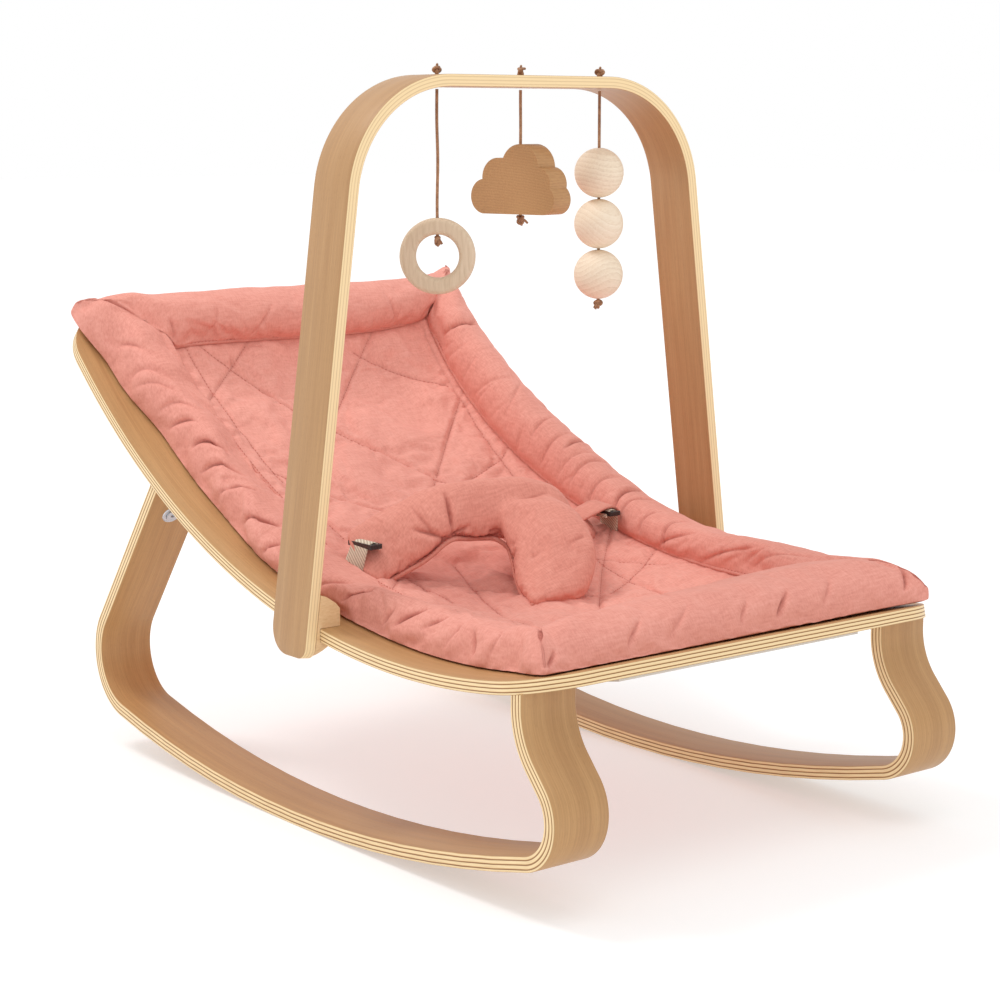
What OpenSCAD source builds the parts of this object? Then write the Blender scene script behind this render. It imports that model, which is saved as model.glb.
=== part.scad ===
// Baby bouncer seat: bent plywood seat frame on two rockers, padded cushion
// with a waist harness, and a sliding toy arch with hanging wooden toys.
// +X to the sitter's left, +Y to the head end, +Z up, millimetres.
// Origin: middle of the footprint, on the floor.

/* [Seat shell] */
// Width of the seat shell
seat_w = 420; // [360:1:480]
// Radius of the seat shell's underside
seat_r = 704; // [600:1:900]
// Thickness of the seat shell
seat_t = 10; // [6:0.5:15]
// Height of the underside at its lowest point
seat_low_z = 149.5; // [100:0.5:200]
// Angle from the lowest point to the foot edge
foot_angle = 13; // [8:0.1:18]
// Angle from the lowest point to the head edge
head_angle = 47.4; // [35:0.1:55]
// Corner radius at the foot end
foot_corner_r = 45; // [10:1:80]
// Corner radius at the head end
head_corner_r = 50; // [10:1:80]
// Width of the side rails beside the opening
side_rail_w = 60; // [40:1:90]
// Width of the head and foot rails
end_rail_w = 66; // [40:1:90]

/* [Rockers] */
// Width of each rocker strip
rocker_w = 50; // [35:1:70]
// Thickness of the rocker strip
rocker_t = 11.5; // [8:0.5:18]
// Distance of the rocker's outer edge from the middle
rocker_x = 207; // [150:1:210]
// Radius of the run on the floor
floor_r = 1190; // [800:5:1800]
// Half angle of the floor run towards the head
floor_rear_angle = 13.3; // [8:0.1:18]
// Half angle of the floor run towards the feet
floor_front_angle = 14.4; // [8:0.1:18]
// Outside radius of the rear bend
rear_bend_r = 55; // [35:1:80]
// Turn of the rear bend
rear_bend_turn = 113; // [80:1:125]
// Outside radius of the front bend
front_bend_r = 39.5; // [25:0.5:70]
// Turn of the front bend
front_bend_turn = 117; // [80:1:125]
// Radius of the neck above the front bend
neck_r = 56; // [30:1:90]
// Turn of the neck above the front bend
neck_turn = 42; // [10:1:60]

/* [Cushion] */
// Width of the padded rim rolls
roll_w = 52; // [30:1:70]
// Height of the padded rim rolls
roll_h = 54; // [30:1:70]
// Outer edge of the side rolls from the middle
roll_x = 188; // [150:1:200]
// Thickness of the quilted panel
panel_t = 14; // [6:1:25]
// How far the panel hangs down in the middle
panel_sag = 14; // [4:1:30]

/* [Harness] */
// Width of the waist band
waist_w = 62; // [40:1:90]
// Thickness of the padded band
harness_t = 15; // [8:1:25]
// Width of the crotch piece
crotch_w = 66; // [40:1:90]
// Width of the webbing
web_w = 24; // [15:1:40]

/* [Toy arch] */
// Width of the arch strip
arch_w = 48; // [30:1:70]
// Thickness of the arch strip
arch_t = 9.5; // [6:0.5:15]
// Height of the arch above the floor
arch_top_z = 587; // [450:1:700]
// Straight length across the top
arch_flat = 162; // [80:1:250]
// Outside radius of the upper bends
arch_bend_r = 98.5; // [50:0.5:140]
// Outward lean of the legs
arch_splay = 7.4; // [0:0.1:15]
// Height of the lower ends of the legs
arch_foot_z = 145; // [120:1:155]
// Clearance between the slot and the seat shell
slot_gap = 0.3; // [0.1:0.05:1]

/* [Toys] */
// Distance between the cord holes
hole_pitch = 84; // [50:1:120]
// Shift of the middle cord hole from the centre
hole_shift = 6; // [-20:1:20]
// Diameter of the cords
cord_d = 2.5; // [1.5:0.1:4]
// Outer diameter of the wooden ring
ring_d = 60; // [40:1:90]
// Inner diameter of the wooden ring
ring_hole_d = 34; // [20:1:60]
// Thickness of the wooden ring
ring_t = 13; // [8:1:25]
// Diameter of the beads
bead_d = 41; // [25:1:55]
// Width of the cloud
cloud_w = 86; // [50:1:120]
// Thickness of the cloud
cloud_t = 22; // [10:1:35]

/* [Hidden] */
$fn = 96;
fine = 2.5;
deg = 180 / PI;
side_x = seat_w / 2;
seat_ri = seat_r - seat_t;
seat_cy = -174;
seat_cz = seat_low_z + seat_r;
open_x = side_x - side_rail_w;
open_a0 = -foot_angle + end_rail_w / seat_r * deg;
open_a1 = head_angle - end_rail_w / seat_r * deg;
open_r = 26;
corner_step = 0.08;
floor_y = -20;
rocker_in_x = rocker_x - rocker_w;
rocker_mid_x = rocker_x - rocker_w / 2;
front_leg_len = 19;
leg_end_len = 60;
rear_leg_len = 200;
rear_lean = floor_rear_angle + rear_bend_turn;
// where the rear leg leaves its bend
rear_cy = floor_y + (floor_r - rear_bend_r) * sin(floor_rear_angle);
rear_cz = floor_r - (floor_r - rear_bend_r) * cos(floor_rear_angle);
rear_py = rear_cy + rear_bend_r * sin(rear_lean);
rear_pz = rear_cz - rear_bend_r * cos(rear_lean);
rear_bolt_s = 132;
rear_block_t = 12.5;
front_top_y = -307;
front_screw_dx = 12;
front_screw_z = seat_cz - 1
    - sqrt(pow(seat_ri, 2) - pow(front_top_y + rocker_t / 2 - seat_cy, 2));
front_screw_l = 36;
screw_r = 1.9;
screw_head_r = 4.2;
screw_gap = 0.06;
bolt_r = 3;
bolt_head_r = 5.5;
cup_r = 9;
insert_r = 4.4;
fit_gap = 0.02;
roll_gap = 0.3;
roll_round = 21;
roll_r = seat_ri - roll_gap;
foot_roll_a0 = -foot_angle + 0.4;
head_roll_a1 = head_angle - 0.5;
roll_a = roll_w / seat_ri * deg;
end_roll_x = 202;
panel_x = roll_x - roll_w - 1.2;
panel_top_r = seat_ri - 20;
panel_a0 = open_a0 + 0.4;
panel_a1 = open_a1 - 0.4;
strip_l = 246;
strip_y = -316;
// waist band: an arc over the lap, leaning towards the feet
waist_y = -12;
waist_z = 218;
waist_lean = 38;
waist_half = 116;
waist_rise = 46;
waist_r = (waist_half * waist_half + waist_rise * waist_rise) / (2 * waist_rise);
waist_a = asin(waist_half / waist_r);
crotch_y = -48;
crotch_z = 236;
arch_y = -45.5;
arch_under_z = arch_top_z - arch_t;
arch_leg_a = 90 - arch_splay;
arch_leg_x = arch_flat / 2 + arch_bend_r * sin(arch_leg_a);
arch_leg_z = arch_top_z - arch_bend_r * (1 - cos(arch_leg_a));
arch_foot_x = arch_leg_x + (arch_leg_z - arch_foot_z) * tan(arch_splay);
arch_in_dx = arch_t / cos(arch_splay);
jaw_x = 191.5;
jaw_low_x = 203;
jaw_h = 16;
cord_r = cord_d / 2;
hole_r = 2.1;
knot_r = 4.2;
ring_x = hole_shift - hole_pitch;
bead_x = hole_shift + hole_pitch;
swing_z = 575.8;
ring_z = 446;
ring_turn = -38.5;
cloud_z = 477;
cloud_turn = -78;
bead_z = 509;
bead_step = 42;

// ---- shared functions ----

// points of one piece of a path: [u, v, heading]
function piece(p, len, turn) =
    let (n = max(1, ceil(abs(turn) / fine)), a = p[2], r = turn == 0 ? 0 : len / turn * deg)
    [for (k = [1 : n]) turn == 0
        ? [p[0] + len * cos(a), p[1] + len * sin(a), a]
        : [p[0] + r * (sin(a + turn * k / n) - sin(a)),
           p[1] + r * (cos(a) - cos(a + turn * k / n)),
           a + turn * k / n]];

function chain(p, segs, i = 0) = i == len(segs) ? []
    : let (q = piece(p, segs[i][0], segs[i][1]))
      concat(q, chain(q[len(q) - 1], segs, i + 1));

function back(v) = [for (k = [len(v) - 1 : -1 : 0]) v[k]];
function shift_left(v, t) = [for (q = v) [q[0] - t * sin(q[2]), q[1] + t * cos(q[2])]];
function flip(v) = [for (q = v) [2 * floor_y - q[0], q[1]]];

// a strip of thickness t on the left of a path
function strip(v, t) = concat(shift_left(v, 0), back(shift_left(v, t)));

function arc_len(r, a) = r * a / deg;

rear_path = chain([floor_y, 0, 0], [
    [arc_len(floor_r, floor_rear_angle), floor_rear_angle],
    [arc_len(rear_bend_r, rear_bend_turn), rear_bend_turn],
    [rear_leg_len, 0]]);
front_path = chain([floor_y, 0, 0], [
    [arc_len(floor_r, floor_front_angle), floor_front_angle],
    [arc_len(front_bend_r, front_bend_turn), front_bend_turn],
    [front_leg_len, 0],
    [arc_len(neck_r, neck_turn), -neck_turn],
    [leg_end_len, 0]]);
rocker_outline = concat(
    back(flip(shift_left(front_path, 0))),
    [[floor_y, 0]],
    shift_left(rear_path, 0),
    back(shift_left(rear_path, rocker_t)),
    [[floor_y, rocker_t]],
    flip(shift_left(front_path, rocker_t)));

// profile (y, z) drawn along x
module along_x(x0, w) {
    translate([x0, 0, 0])
        rotate([90, 0, 90])
            linear_extrude(w)
                children();
}

// profile (r, x) turned about the middle of the seat's curve
module on_seat(a0, a1) {
    translate([0, seat_cy, seat_cz])
        rotate([0, 90, 0])
            rotate([0, 0, a0])
                rotate_extrude(angle = a1 - a0, $fn = 720)
                    children();
}

// a thing placed at angle a on the seat, z outwards from radius r
module at_seat(a, x, r) {
    translate([0, seat_cy, seat_cz])
        rotate([a, 0, 0])
            translate([x, 0, -r])
                children();
}

module band(x0, x1, r0, r1) {
    translate([r0, x0])
        square([r1 - r0, x1 - x0]);
}

module rounded(w, h, r) {
    translate([r, 0])
        square([w - 2 * r, h]);
    translate([0, r])
        square([w, h - 2 * r]);
    for (x = [r, w - r], y = [r, h - r])
        translate([x, y])
            circle(r);
}

// what lies outside one round corner of radius r: sx and sa point to the corner
module corner_rest(a, x, r, sx, sa) {
    da = r / seat_r * deg;
    at_seat(a - sa * da, x - sx * (r - corner_step), seat_r + 20)
        difference() {
            translate([sx > 0 ? 0 : -r - 3, sa > 0 ? 0 : -r - 3, 0])
                cube([r + 3, r + 3, seat_t + 40]);
            translate([0, 0, -1])
                rotate([0, 0, 135])
                    cylinder(h = seat_t + 42, r = r);
        }
}

// everything inside the seat's curve, out to radius r
module seat_inside(r, w = 500) {
    translate([-w / 2, seat_cy, seat_cz])
        rotate([0, 90, 0])
            cylinder(h = w, r = r, $fn = 720);
}

// a tube of 8 sides along a list of points
function tube_pts(v, r) = [for (q = v, k = [0 : 7])
    [q[0] + r * cos(k * 45), q[1] + r * sin(k * 45), q[2]]];
function tube_faces(n) = concat(
    [[for (k = [0 : 7]) k]],
    [for (i = [0 : n - 2], k = [0 : 7])
        [i * 8 + k, (i + 1) * 8 + k, (i + 1) * 8 + (k + 1) % 8, i * 8 + (k + 1) % 8]],
    [[for (k = [7 : -1 : 0]) (n - 1) * 8 + k]]);

module tube(v, r) {
    polyhedron(points = tube_pts(v, r), faces = tube_faces(len(v)));
}

// ---- seat shell and rockers ----

module seat_shell() {
    color([0.83, 0.66, 0.45])
        difference() {
            on_seat(-foot_angle, head_angle)
                band(-side_x, side_x, seat_ri, seat_r);
            for (s = [-1, 1]) {
                corner_rest(-foot_angle, s * side_x, foot_corner_r, s, -1);
                corner_rest(head_angle, s * side_x, head_corner_r, s, 1);
            }
            difference() {
                on_seat(open_a0, open_a1)
                    band(-open_x, open_x, seat_ri - 5, seat_r + 5);
                for (s = [-1, 1]) {
                    corner_rest(open_a0, s * open_x, open_r, s, -1);
                    corner_rest(open_a1, s * open_x, open_r, s, 1);
                }
            }
            for (s = [-1, 1])
                front_screw_place(s)
                    screw_body(screw_gap);
        }
}

module rocker(s) {
    color([0.83, 0.66, 0.45])
        difference() {
            intersection() {
                along_x(s > 0 ? rocker_in_x : -rocker_x, rocker_w)
                    polygon(rocker_outline);
                seat_outside_keep();
            }
            rear_bolt_place(s)
                translate([0, 0, -40])
                    cylinder(h = 80, r = bolt_r);
            rear_bolt_place(s)
                translate([0, 0, rocker_t - 3])
                    cylinder(h = 10, r = cup_r + fit_gap);
            front_screw_place(s)
                screw_body(screw_gap);
        }
}

// the space under the seat shell
module seat_outside_keep() {
    difference() {
        translate([-260, -400, -1])
            cube([520, 800, 400]);
        seat_inside(seat_r + fit_gap, 600);
    }
}

// on the rear leg's outer face, z towards the inside of the rocker
module rear_bolt_place(s) {
    translate([s * rocker_mid_x,
        rear_py + rear_bolt_s * cos(rear_lean),
        rear_pz + rear_bolt_s * sin(rear_lean)])
        rotate([rear_lean, 0, 0])
            children();
}

// straight down through the shell into the front leg's end, z up from the shell's top
module front_screw_place(s) {
    for (d = [-1, 1])
        translate([
            s * rocker_mid_x + d * front_screw_dx,
            front_top_y + rocker_t / 2,
            front_screw_z])
            children();
}

module screw_body(grow) {
    translate([0, 0, -front_screw_l])
        cylinder(h = front_screw_l + 0.01, r = screw_r + grow);
    translate([0, 0, -screw_head_r + screw_r])
        cylinder(h = screw_head_r - screw_r, r1 = screw_r + grow, r2 = screw_head_r + grow);
    if (grow > 0)
        cylinder(h = 6, r = screw_head_r + grow);
}

module rear_block(s) {
    color([0.78, 0.6, 0.4])
        difference() {
            intersection() {
                rear_bolt_place(s)
                    translate([-11, -22, -rear_block_t])
                        cube([22, 60, rear_block_t - fit_gap]);
                seat_outside_keep();
            }
            rear_bolt_place(s)
                translate([0, 0, -11])
                    cylinder(h = 20, r = insert_r);
        }
}

module rear_bolts() {
    color([0.75, 0.75, 0.76])
        for (s = [-1, 1])
            rear_bolt_place(s) {
                translate([0, 0, -10])
                    cylinder(h = rocker_t + 8, r = bolt_r - 0.15);
                difference() {
                    translate([0, 0, rocker_t - 2])
                        cylinder(h = 4, r = bolt_head_r);
                    translate([0, 0, rocker_t + 0.5])
                        cylinder(h = 4, r = 2, $fn = 6);
                }
            }
}

module cup_washers() {
    color([0.8, 0.8, 0.8])
        for (s = [-1, 1])
            rear_bolt_place(s)
                translate([0, 0, rocker_t - 3])
                    difference() {
                        union() {
                            cylinder(h = 3, r = cup_r);
                            translate([0, 0, 3])
                                cylinder(h = 0.8, r1 = cup_r, r2 = cup_r - 0.6);
                        }
                        translate([0, 0, 1 - fit_gap])
                            cylinder(h = 5, r = bolt_head_r + 0.15);
                        translate([0, 0, -1])
                            cylinder(h = 5, r = bolt_r + 0.05);
                    }
}

module front_screws() {
    color([0.75, 0.75, 0.76])
        for (s = [-1, 1])
            front_screw_place(s)
                difference() {
                    screw_body(0);
                    translate([0, 0, -1.6])
                        cylinder(h = 4, r = 1.5, $fn = 6);
                }
}

module insert() {
    difference() {
        cylinder(h = 8.5, r = insert_r - fit_gap);
        translate([0, 0, -1])
            cylinder(h = 12, r = bolt_r);
    }
}

module threaded_inserts() {
    color([0.8, 0.7, 0.4])
        for (s = [-1, 1])
            rear_bolt_place(s)
                translate([0, 0, -10.5])
                    insert();
}

module grip_strip() {
    color([0.9, 0.88, 0.84])
        intersection() {
            translate([-strip_l / 2, strip_y, 120])
                cube([strip_l, 20, 60]);
            difference() {
                seat_inside(seat_r + 3.5);
                seat_inside(seat_r + fit_gap);
            }
        }
}

// ---- cushion ----

module roll_section() {
    translate([roll_r - roll_h, 0])
        rounded(roll_h, roll_w, roll_round);
}

module cushion_side(s) {
    a0 = foot_roll_a0 + roll_a + 0.28;
    a1 = head_roll_a1 - roll_a - 0.28;
    color([0.87, 0.6, 0.55])
        on_seat(a0, a1)
            translate([0, s > 0 ? roll_x - roll_w : -roll_x])
                roll_section();
}

// straight roll across the seat, starting at angle a
module cushion_end(a, x) {
    color([0.87, 0.6, 0.55])
        at_seat(a, 0, roll_r)
            translate([-x, 0, 0])
                rotate([90, 0, 90])
                    linear_extrude(2 * x)
                        translate([-roll_w / 2, 0.6])
                            rounded(roll_w, roll_h, roll_round);
}

module cushion_panel() {
    rr = (panel_x * panel_x + panel_sag * panel_sag) / (2 * panel_sag);
    base = panel_top_r + panel_sag - rr;
    half = asin(panel_x / rr);
    pts = concat(
        [for (k = [-8 : 8]) [base + rr * cos(half * k / 8), rr * sin(half * k / 8)]],
        [for (k = [8 : -1 : -8])
            [base + panel_t + rr * cos(half * k / 8), rr * sin(half * k / 8)]]);
    color([0.85, 0.57, 0.52])
        on_seat(panel_a0, panel_a1)
            polygon(pts);
}

// ---- harness ----

// x across, y up along the leaning band, z through its width
module waist_place() {
    translate([0, waist_y, waist_z])
        rotate([90 + waist_lean, 0, 0])
            children();
}

module waist_arc(r0, r1, a) {
    translate([0, waist_rise - waist_r, 0])
        rotate([0, 0, 90 - a])
            rotate_extrude(angle = 2 * a)
                translate([r0, -waist_w / 2])
                    square([r1 - r0, waist_w]);
}

crotch_path = chain([crotch_y, crotch_z, 218], [[26, 6], [43, 34], [1, 0]]);

module harness_pad() {
    color([0.84, 0.53, 0.48]) {
        waist_place()
            waist_arc(waist_r - harness_t, waist_r, waist_a);
        along_x(-crotch_w / 2, crotch_w)
            polygon(strip(crotch_path, harness_t));
    }
}

web_y = -12;
web_x = 127;
web_low_z = 202;
web_h = 11;

module harness_web(s) {
    color([0.86, 0.8, 0.7])
        translate([s * web_x - 0.8, web_y - web_w / 2, web_low_z])
            cube([1.6, web_w, web_h]);
}

module adjuster(s) {
    color([0.08, 0.08, 0.08])
        translate([s * web_x, web_y, web_low_z + web_h + 2.5])
            difference() {
                translate([-6, -16, -2])
                    cube([12, 32, 4]);
                for (d = [-1, 1])
                    translate([d * 3 - 1.5, -12.5, -3])
                        cube([3, 25, 6]);
            }
}

// ---- toy arch ----

arch_half = chain([0, arch_top_z, 0], [
    [arch_flat / 2, 0],
    [arc_len(arch_bend_r, arch_leg_a), -arch_leg_a],
    [(arch_leg_z - arch_foot_z + 12) / cos(arch_splay), 0]]);

function mirror_x(v) = [for (q = v) [-q[0], q[1]]];

arch_outer = shift_left(arch_half, 0);
arch_inner = shift_left(arch_half, -arch_t);
arch_outline = concat(back(mirror_x(arch_outer)), arch_outer,
    back(arch_inner), mirror_x(arch_inner));

// side view of the arch: straight strip with rounded lower ends
module arch_side() {
    r1 = 22;
    r2 = 9;
    translate([-arch_w / 2, arch_foot_z + r1])
        square([arch_w, arch_top_z - arch_foot_z]);
    translate([-arch_w / 2 + r2, arch_foot_z])
        square([arch_w - r1 - r2, r1 + 1]);
    translate([-arch_w / 2, arch_foot_z + r2])
        square([r2 + 1, r1]);
    translate([arch_w / 2 - r1, arch_foot_z + r1])
        circle(r1);
    translate([-arch_w / 2 + r2, arch_foot_z + r2])
        circle(r2);
}

module arch_bow() {
    color([0.83, 0.66, 0.45])
        difference() {
            intersection() {
                translate([0, arch_y + arch_w / 2, 0])
                    rotate([90, 0, 0])
                        linear_extrude(arch_w)
                            polygon(arch_outline);
                translate([0, arch_y, 0])
                    along_x(-300, 600)
                        arch_side();
            }
            for (x = [ring_x, hole_shift, bead_x])
                translate([x, arch_y, arch_under_z - 20])
                    cylinder(h = 60, r = hole_r);
        }
}

// block on the inside of a leg, with the slot for the seat's edge
module arch_block(s) {
    z0 = arch_foot_z;
    z1 = 174 + jaw_h;
    function leg_in(z) = arch_leg_x + (arch_leg_z - z) * tan(arch_splay) - arch_in_dx - fit_gap;
    color([0.88, 0.74, 0.54])
        difference() {
            intersection() {
                translate([0, arch_y + arch_w / 2, 0])
                    rotate([90, 0, 0])
                        linear_extrude(arch_w)
                            polygon([
                                [s * leg_in(z0), z0],
                                [s * leg_in(z1 + 3.5), z1 + 3.5],
                                [s * (leg_in(z1) - 6), z1 + 1.5],
                                [s * (jaw_x + 4), z1 - 4],
                                [s * jaw_x, z1 - 8.5],
                                [s * jaw_x, 165],
                                [s * jaw_low_x, 160],
                                [s * jaw_low_x, 153]]);
                translate([0, arch_y, 0])
                    along_x(-300, 600)
                        arch_side();
            }
            difference() {
                seat_inside(seat_r + slot_gap, seat_w + 2 * slot_gap);
                seat_inside(seat_ri - slot_gap);
            }
            lower_inside_cut();
        }
}

// clears the seat's underside of the rounding of the lower jaw
module lower_inside_cut() {
    translate([-jaw_low_x, -200, 100])
        difference() {
            cube([2 * jaw_low_x, 300, 100]);
            translate([jaw_low_x, 200, -100])
                seat_inside(seat_ri - slot_gap);
        }
}

// ---- toys ----

module top_knot(x) {
    color([0.72, 0.45, 0.36])
        translate([x, arch_y, 0]) {
            translate([0, 0, arch_under_z - 0.6])
                cylinder(h = arch_t + 2, r = cord_r);
            translate([0, 0, arch_top_z + knot_r - 0.6])
                difference() {
                    sphere(knot_r);
                    translate([0, 0, -knot_r - 4.4])
                        cube([20, 20, 10], center = true);
                }
            translate([0, 0, arch_top_z + knot_r])
                rotate([0, 25, 0])
                    cylinder(h = 9, r = cord_r);
        }
}

module toy_cord(x, z) {
    n = ceil((swing_z - z) / (3 * cord_d));
    color([0.72, 0.45, 0.36])
        tube([for (k = [0 : n]) [x, arch_y, z + (swing_z - z) * k / n]], cord_r);
}

module end_knot(x, z) {
    color([0.72, 0.45, 0.36])
        translate([x, arch_y, z])
            difference() {
                sphere(knot_r);
                translate([0, 0, knot_r + 3.6])
                    cube([20, 20, 10], center = true);
            }
}

ring_knot_z = ring_z + ring_hole_d / 2 - knot_r - 0.4;
cloud_knot_z = cloud_z - knot_r - 0.2;
bead_knot_z = bead_z - 2 * bead_step - bead_d / 2 - knot_r + 0.3;

module toy_ring() {
    wall = (ring_d - ring_hole_d) / 2;
    color([0.9, 0.78, 0.64])
        translate([ring_x, arch_y, ring_z])
            rotate([0, 0, ring_turn])
                difference() {
                    rotate([90, 0, 0])
                        rotate_extrude()
                            translate([ring_hole_d / 2, -ring_t / 2])
                                rounded(wall, ring_t, 4);
                    cylinder(h = ring_d, r = cord_r + 0.35);
                }
}

// half width, height and radius of each puff
puffs = [[-29, 14, 14], [-15, 29, 16], [8, 37, 19], [25, 24, 14], [31, 12, 12]];

module toy_cloud() {
    color([0.78, 0.6, 0.4])
        translate([hole_shift, arch_y, cloud_z])
            rotate([0, 0, cloud_turn])
                difference() {
                    rotate([90, 0, 0])
                        translate([0, 0, -cloud_t / 2])
                            linear_extrude(cloud_t)
                                intersection() {
                                    union() {
                                        for (p = puffs)
                                            translate([p[0], p[1]])
                                                circle(p[2]);
                                        translate([-31, 0])
                                            square([62, 24]);
                                    }
                                    translate([-cloud_w / 2, 0])
                                        square([cloud_w, 60]);
                                }
                    translate([0, 0, -1])
                        cylinder(h = 80, r = cord_r + 0.35);
                }
}

module bead(k) {
    color([0.92, 0.82, 0.68])
        translate([bead_x, arch_y, bead_z - k * bead_step])
            difference() {
                sphere(bead_d / 2);
                cylinder(h = 80, r = cord_r + 0.35, center = true);
            }
}

seat_shell();
rocker(1);  // rocker_left
rocker(-1);  // rocker_right
rear_block(1);  // rear_block_left
rear_block(-1);  // rear_block_right
rear_bolts();
cup_washers();
front_screws();
threaded_inserts();
grip_strip();
cushion_end(head_roll_a1 - roll_a / 2, end_roll_x);  // cushion_head
cushion_end(foot_roll_a0 + roll_a / 2, end_roll_x - 4);  // cushion_foot
cushion_side(1);  // cushion_left
cushion_side(-1);  // cushion_right
cushion_panel();
harness_pad();
harness_web(1);  // harness_web_left
harness_web(-1);  // harness_web_right
adjuster(1);  // adjuster_left
adjuster(-1);  // adjuster_right
arch_bow();
arch_block(1);  // arch_block_left
arch_block(-1);  // arch_block_right
top_knot(bead_x);  // top_knot_left
top_knot(hole_shift);  // top_knot_middle
top_knot(ring_x);  // top_knot_right
toy_cord(bead_x, bead_knot_z + knot_r - 1.4);  // toy_cord_left
toy_cord(hole_shift, cloud_knot_z + knot_r - 1.4);  // toy_cord_middle
toy_cord(ring_x, ring_knot_z + knot_r - 1.4);  // toy_cord_right
end_knot(bead_x, bead_knot_z);  // end_knot_left
end_knot(hole_shift, cloud_knot_z);  // end_knot_middle
end_knot(ring_x, ring_knot_z);  // end_knot_right
toy_ring();
toy_cloud();
bead(0);  // bead_top
bead(1);  // bead_middle
bead(2);  // bead_bottom
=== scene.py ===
# Looks for the bent plywood baby bouncer: materials, soft goods, cords and camera around the CAD frame.
import math
import random
import bpy
import bmesh
import numpy as np
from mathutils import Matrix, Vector, noise
from mathutils.bvhtree import BVHTree


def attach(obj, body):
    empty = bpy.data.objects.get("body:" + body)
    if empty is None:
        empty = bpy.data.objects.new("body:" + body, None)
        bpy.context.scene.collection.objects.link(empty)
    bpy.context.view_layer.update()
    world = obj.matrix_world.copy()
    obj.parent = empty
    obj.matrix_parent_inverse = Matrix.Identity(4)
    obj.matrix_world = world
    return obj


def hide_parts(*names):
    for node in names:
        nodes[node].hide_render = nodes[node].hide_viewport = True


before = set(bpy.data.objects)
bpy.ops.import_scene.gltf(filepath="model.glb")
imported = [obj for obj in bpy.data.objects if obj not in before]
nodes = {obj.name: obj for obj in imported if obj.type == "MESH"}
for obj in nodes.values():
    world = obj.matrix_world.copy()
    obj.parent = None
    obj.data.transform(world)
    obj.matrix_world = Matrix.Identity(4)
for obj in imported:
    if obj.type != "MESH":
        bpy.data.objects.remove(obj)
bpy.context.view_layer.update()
MM = 0.001
scene = bpy.context.scene

# ---------------------------------------------------------------- camera
CAM_POS = Vector((-1.1594, -1.4831, 0.5473))
CAM_YAW = math.radians(38.52)
CAM_PITCH = math.radians(9.36)
view_dir = Vector((math.sin(CAM_YAW) * math.cos(CAM_PITCH),
                   math.cos(CAM_YAW) * math.cos(CAM_PITCH), -math.sin(CAM_PITCH)))
cam_data = bpy.data.cameras.new("camera")
cam_data.sensor_width = 36.0
cam_data.lens = 81.69
cam = bpy.data.objects.new("camera", cam_data)
cam.location = CAM_POS
cam.rotation_mode = "QUATERNION"
cam.rotation_quaternion = view_dir.to_track_quat("-Z", "Y")
scene.collection.objects.link(cam)
scene.camera = cam

# ---------------------------------------------------------------- helpers


def lerp(a, b, t):
    return a + (b - a) * t


def smooth(t):
    t = max(0.0, min(1.0, t))
    return t * t * (3 - 2 * t)


def new_object(name, verts, faces, material, uvs=None, attrs=None, shade=True):
    """Mesh object from vertices in metres; uvs one per vertex, attrs name -> one value per vertex."""
    mesh = bpy.data.meshes.new(name)
    mesh.from_pydata([tuple(v) for v in verts], [], faces)
    mesh.validate()
    mesh.update()
    if uvs is not None:
        layer = mesh.uv_layers.new(name="lay")
        for loop in mesh.loops:
            layer.data[loop.index].uv = uvs[loop.vertex_index]
    for key, values in (attrs or {}).items():
        at = mesh.attributes.new(key, "FLOAT", "POINT")
        at.data.foreach_set("value", np.asarray(values, np.float32))
    bm = bmesh.new()
    bm.from_mesh(mesh)
    bmesh.ops.recalc_face_normals(bm, faces=bm.faces)
    bm.to_mesh(mesh)
    bm.free()
    if shade:
        mesh.polygons.foreach_set("use_smooth", [True] * len(mesh.polygons))
    obj = bpy.data.objects.new(name, mesh)
    scene.collection.objects.link(obj)
    if material:
        mesh.materials.append(material)
    return obj


def apply_modifiers(obj):
    dg = bpy.context.evaluated_depsgraph_get()
    mesh = bpy.data.meshes.new_from_object(obj.evaluated_get(dg), preserve_all_data_layers=True, depsgraph=dg)
    old = obj.data
    obj.modifiers.clear()
    obj.data = mesh
    bpy.data.meshes.remove(old)
    return obj


# ---------------------------------------------------------------- materials


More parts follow.
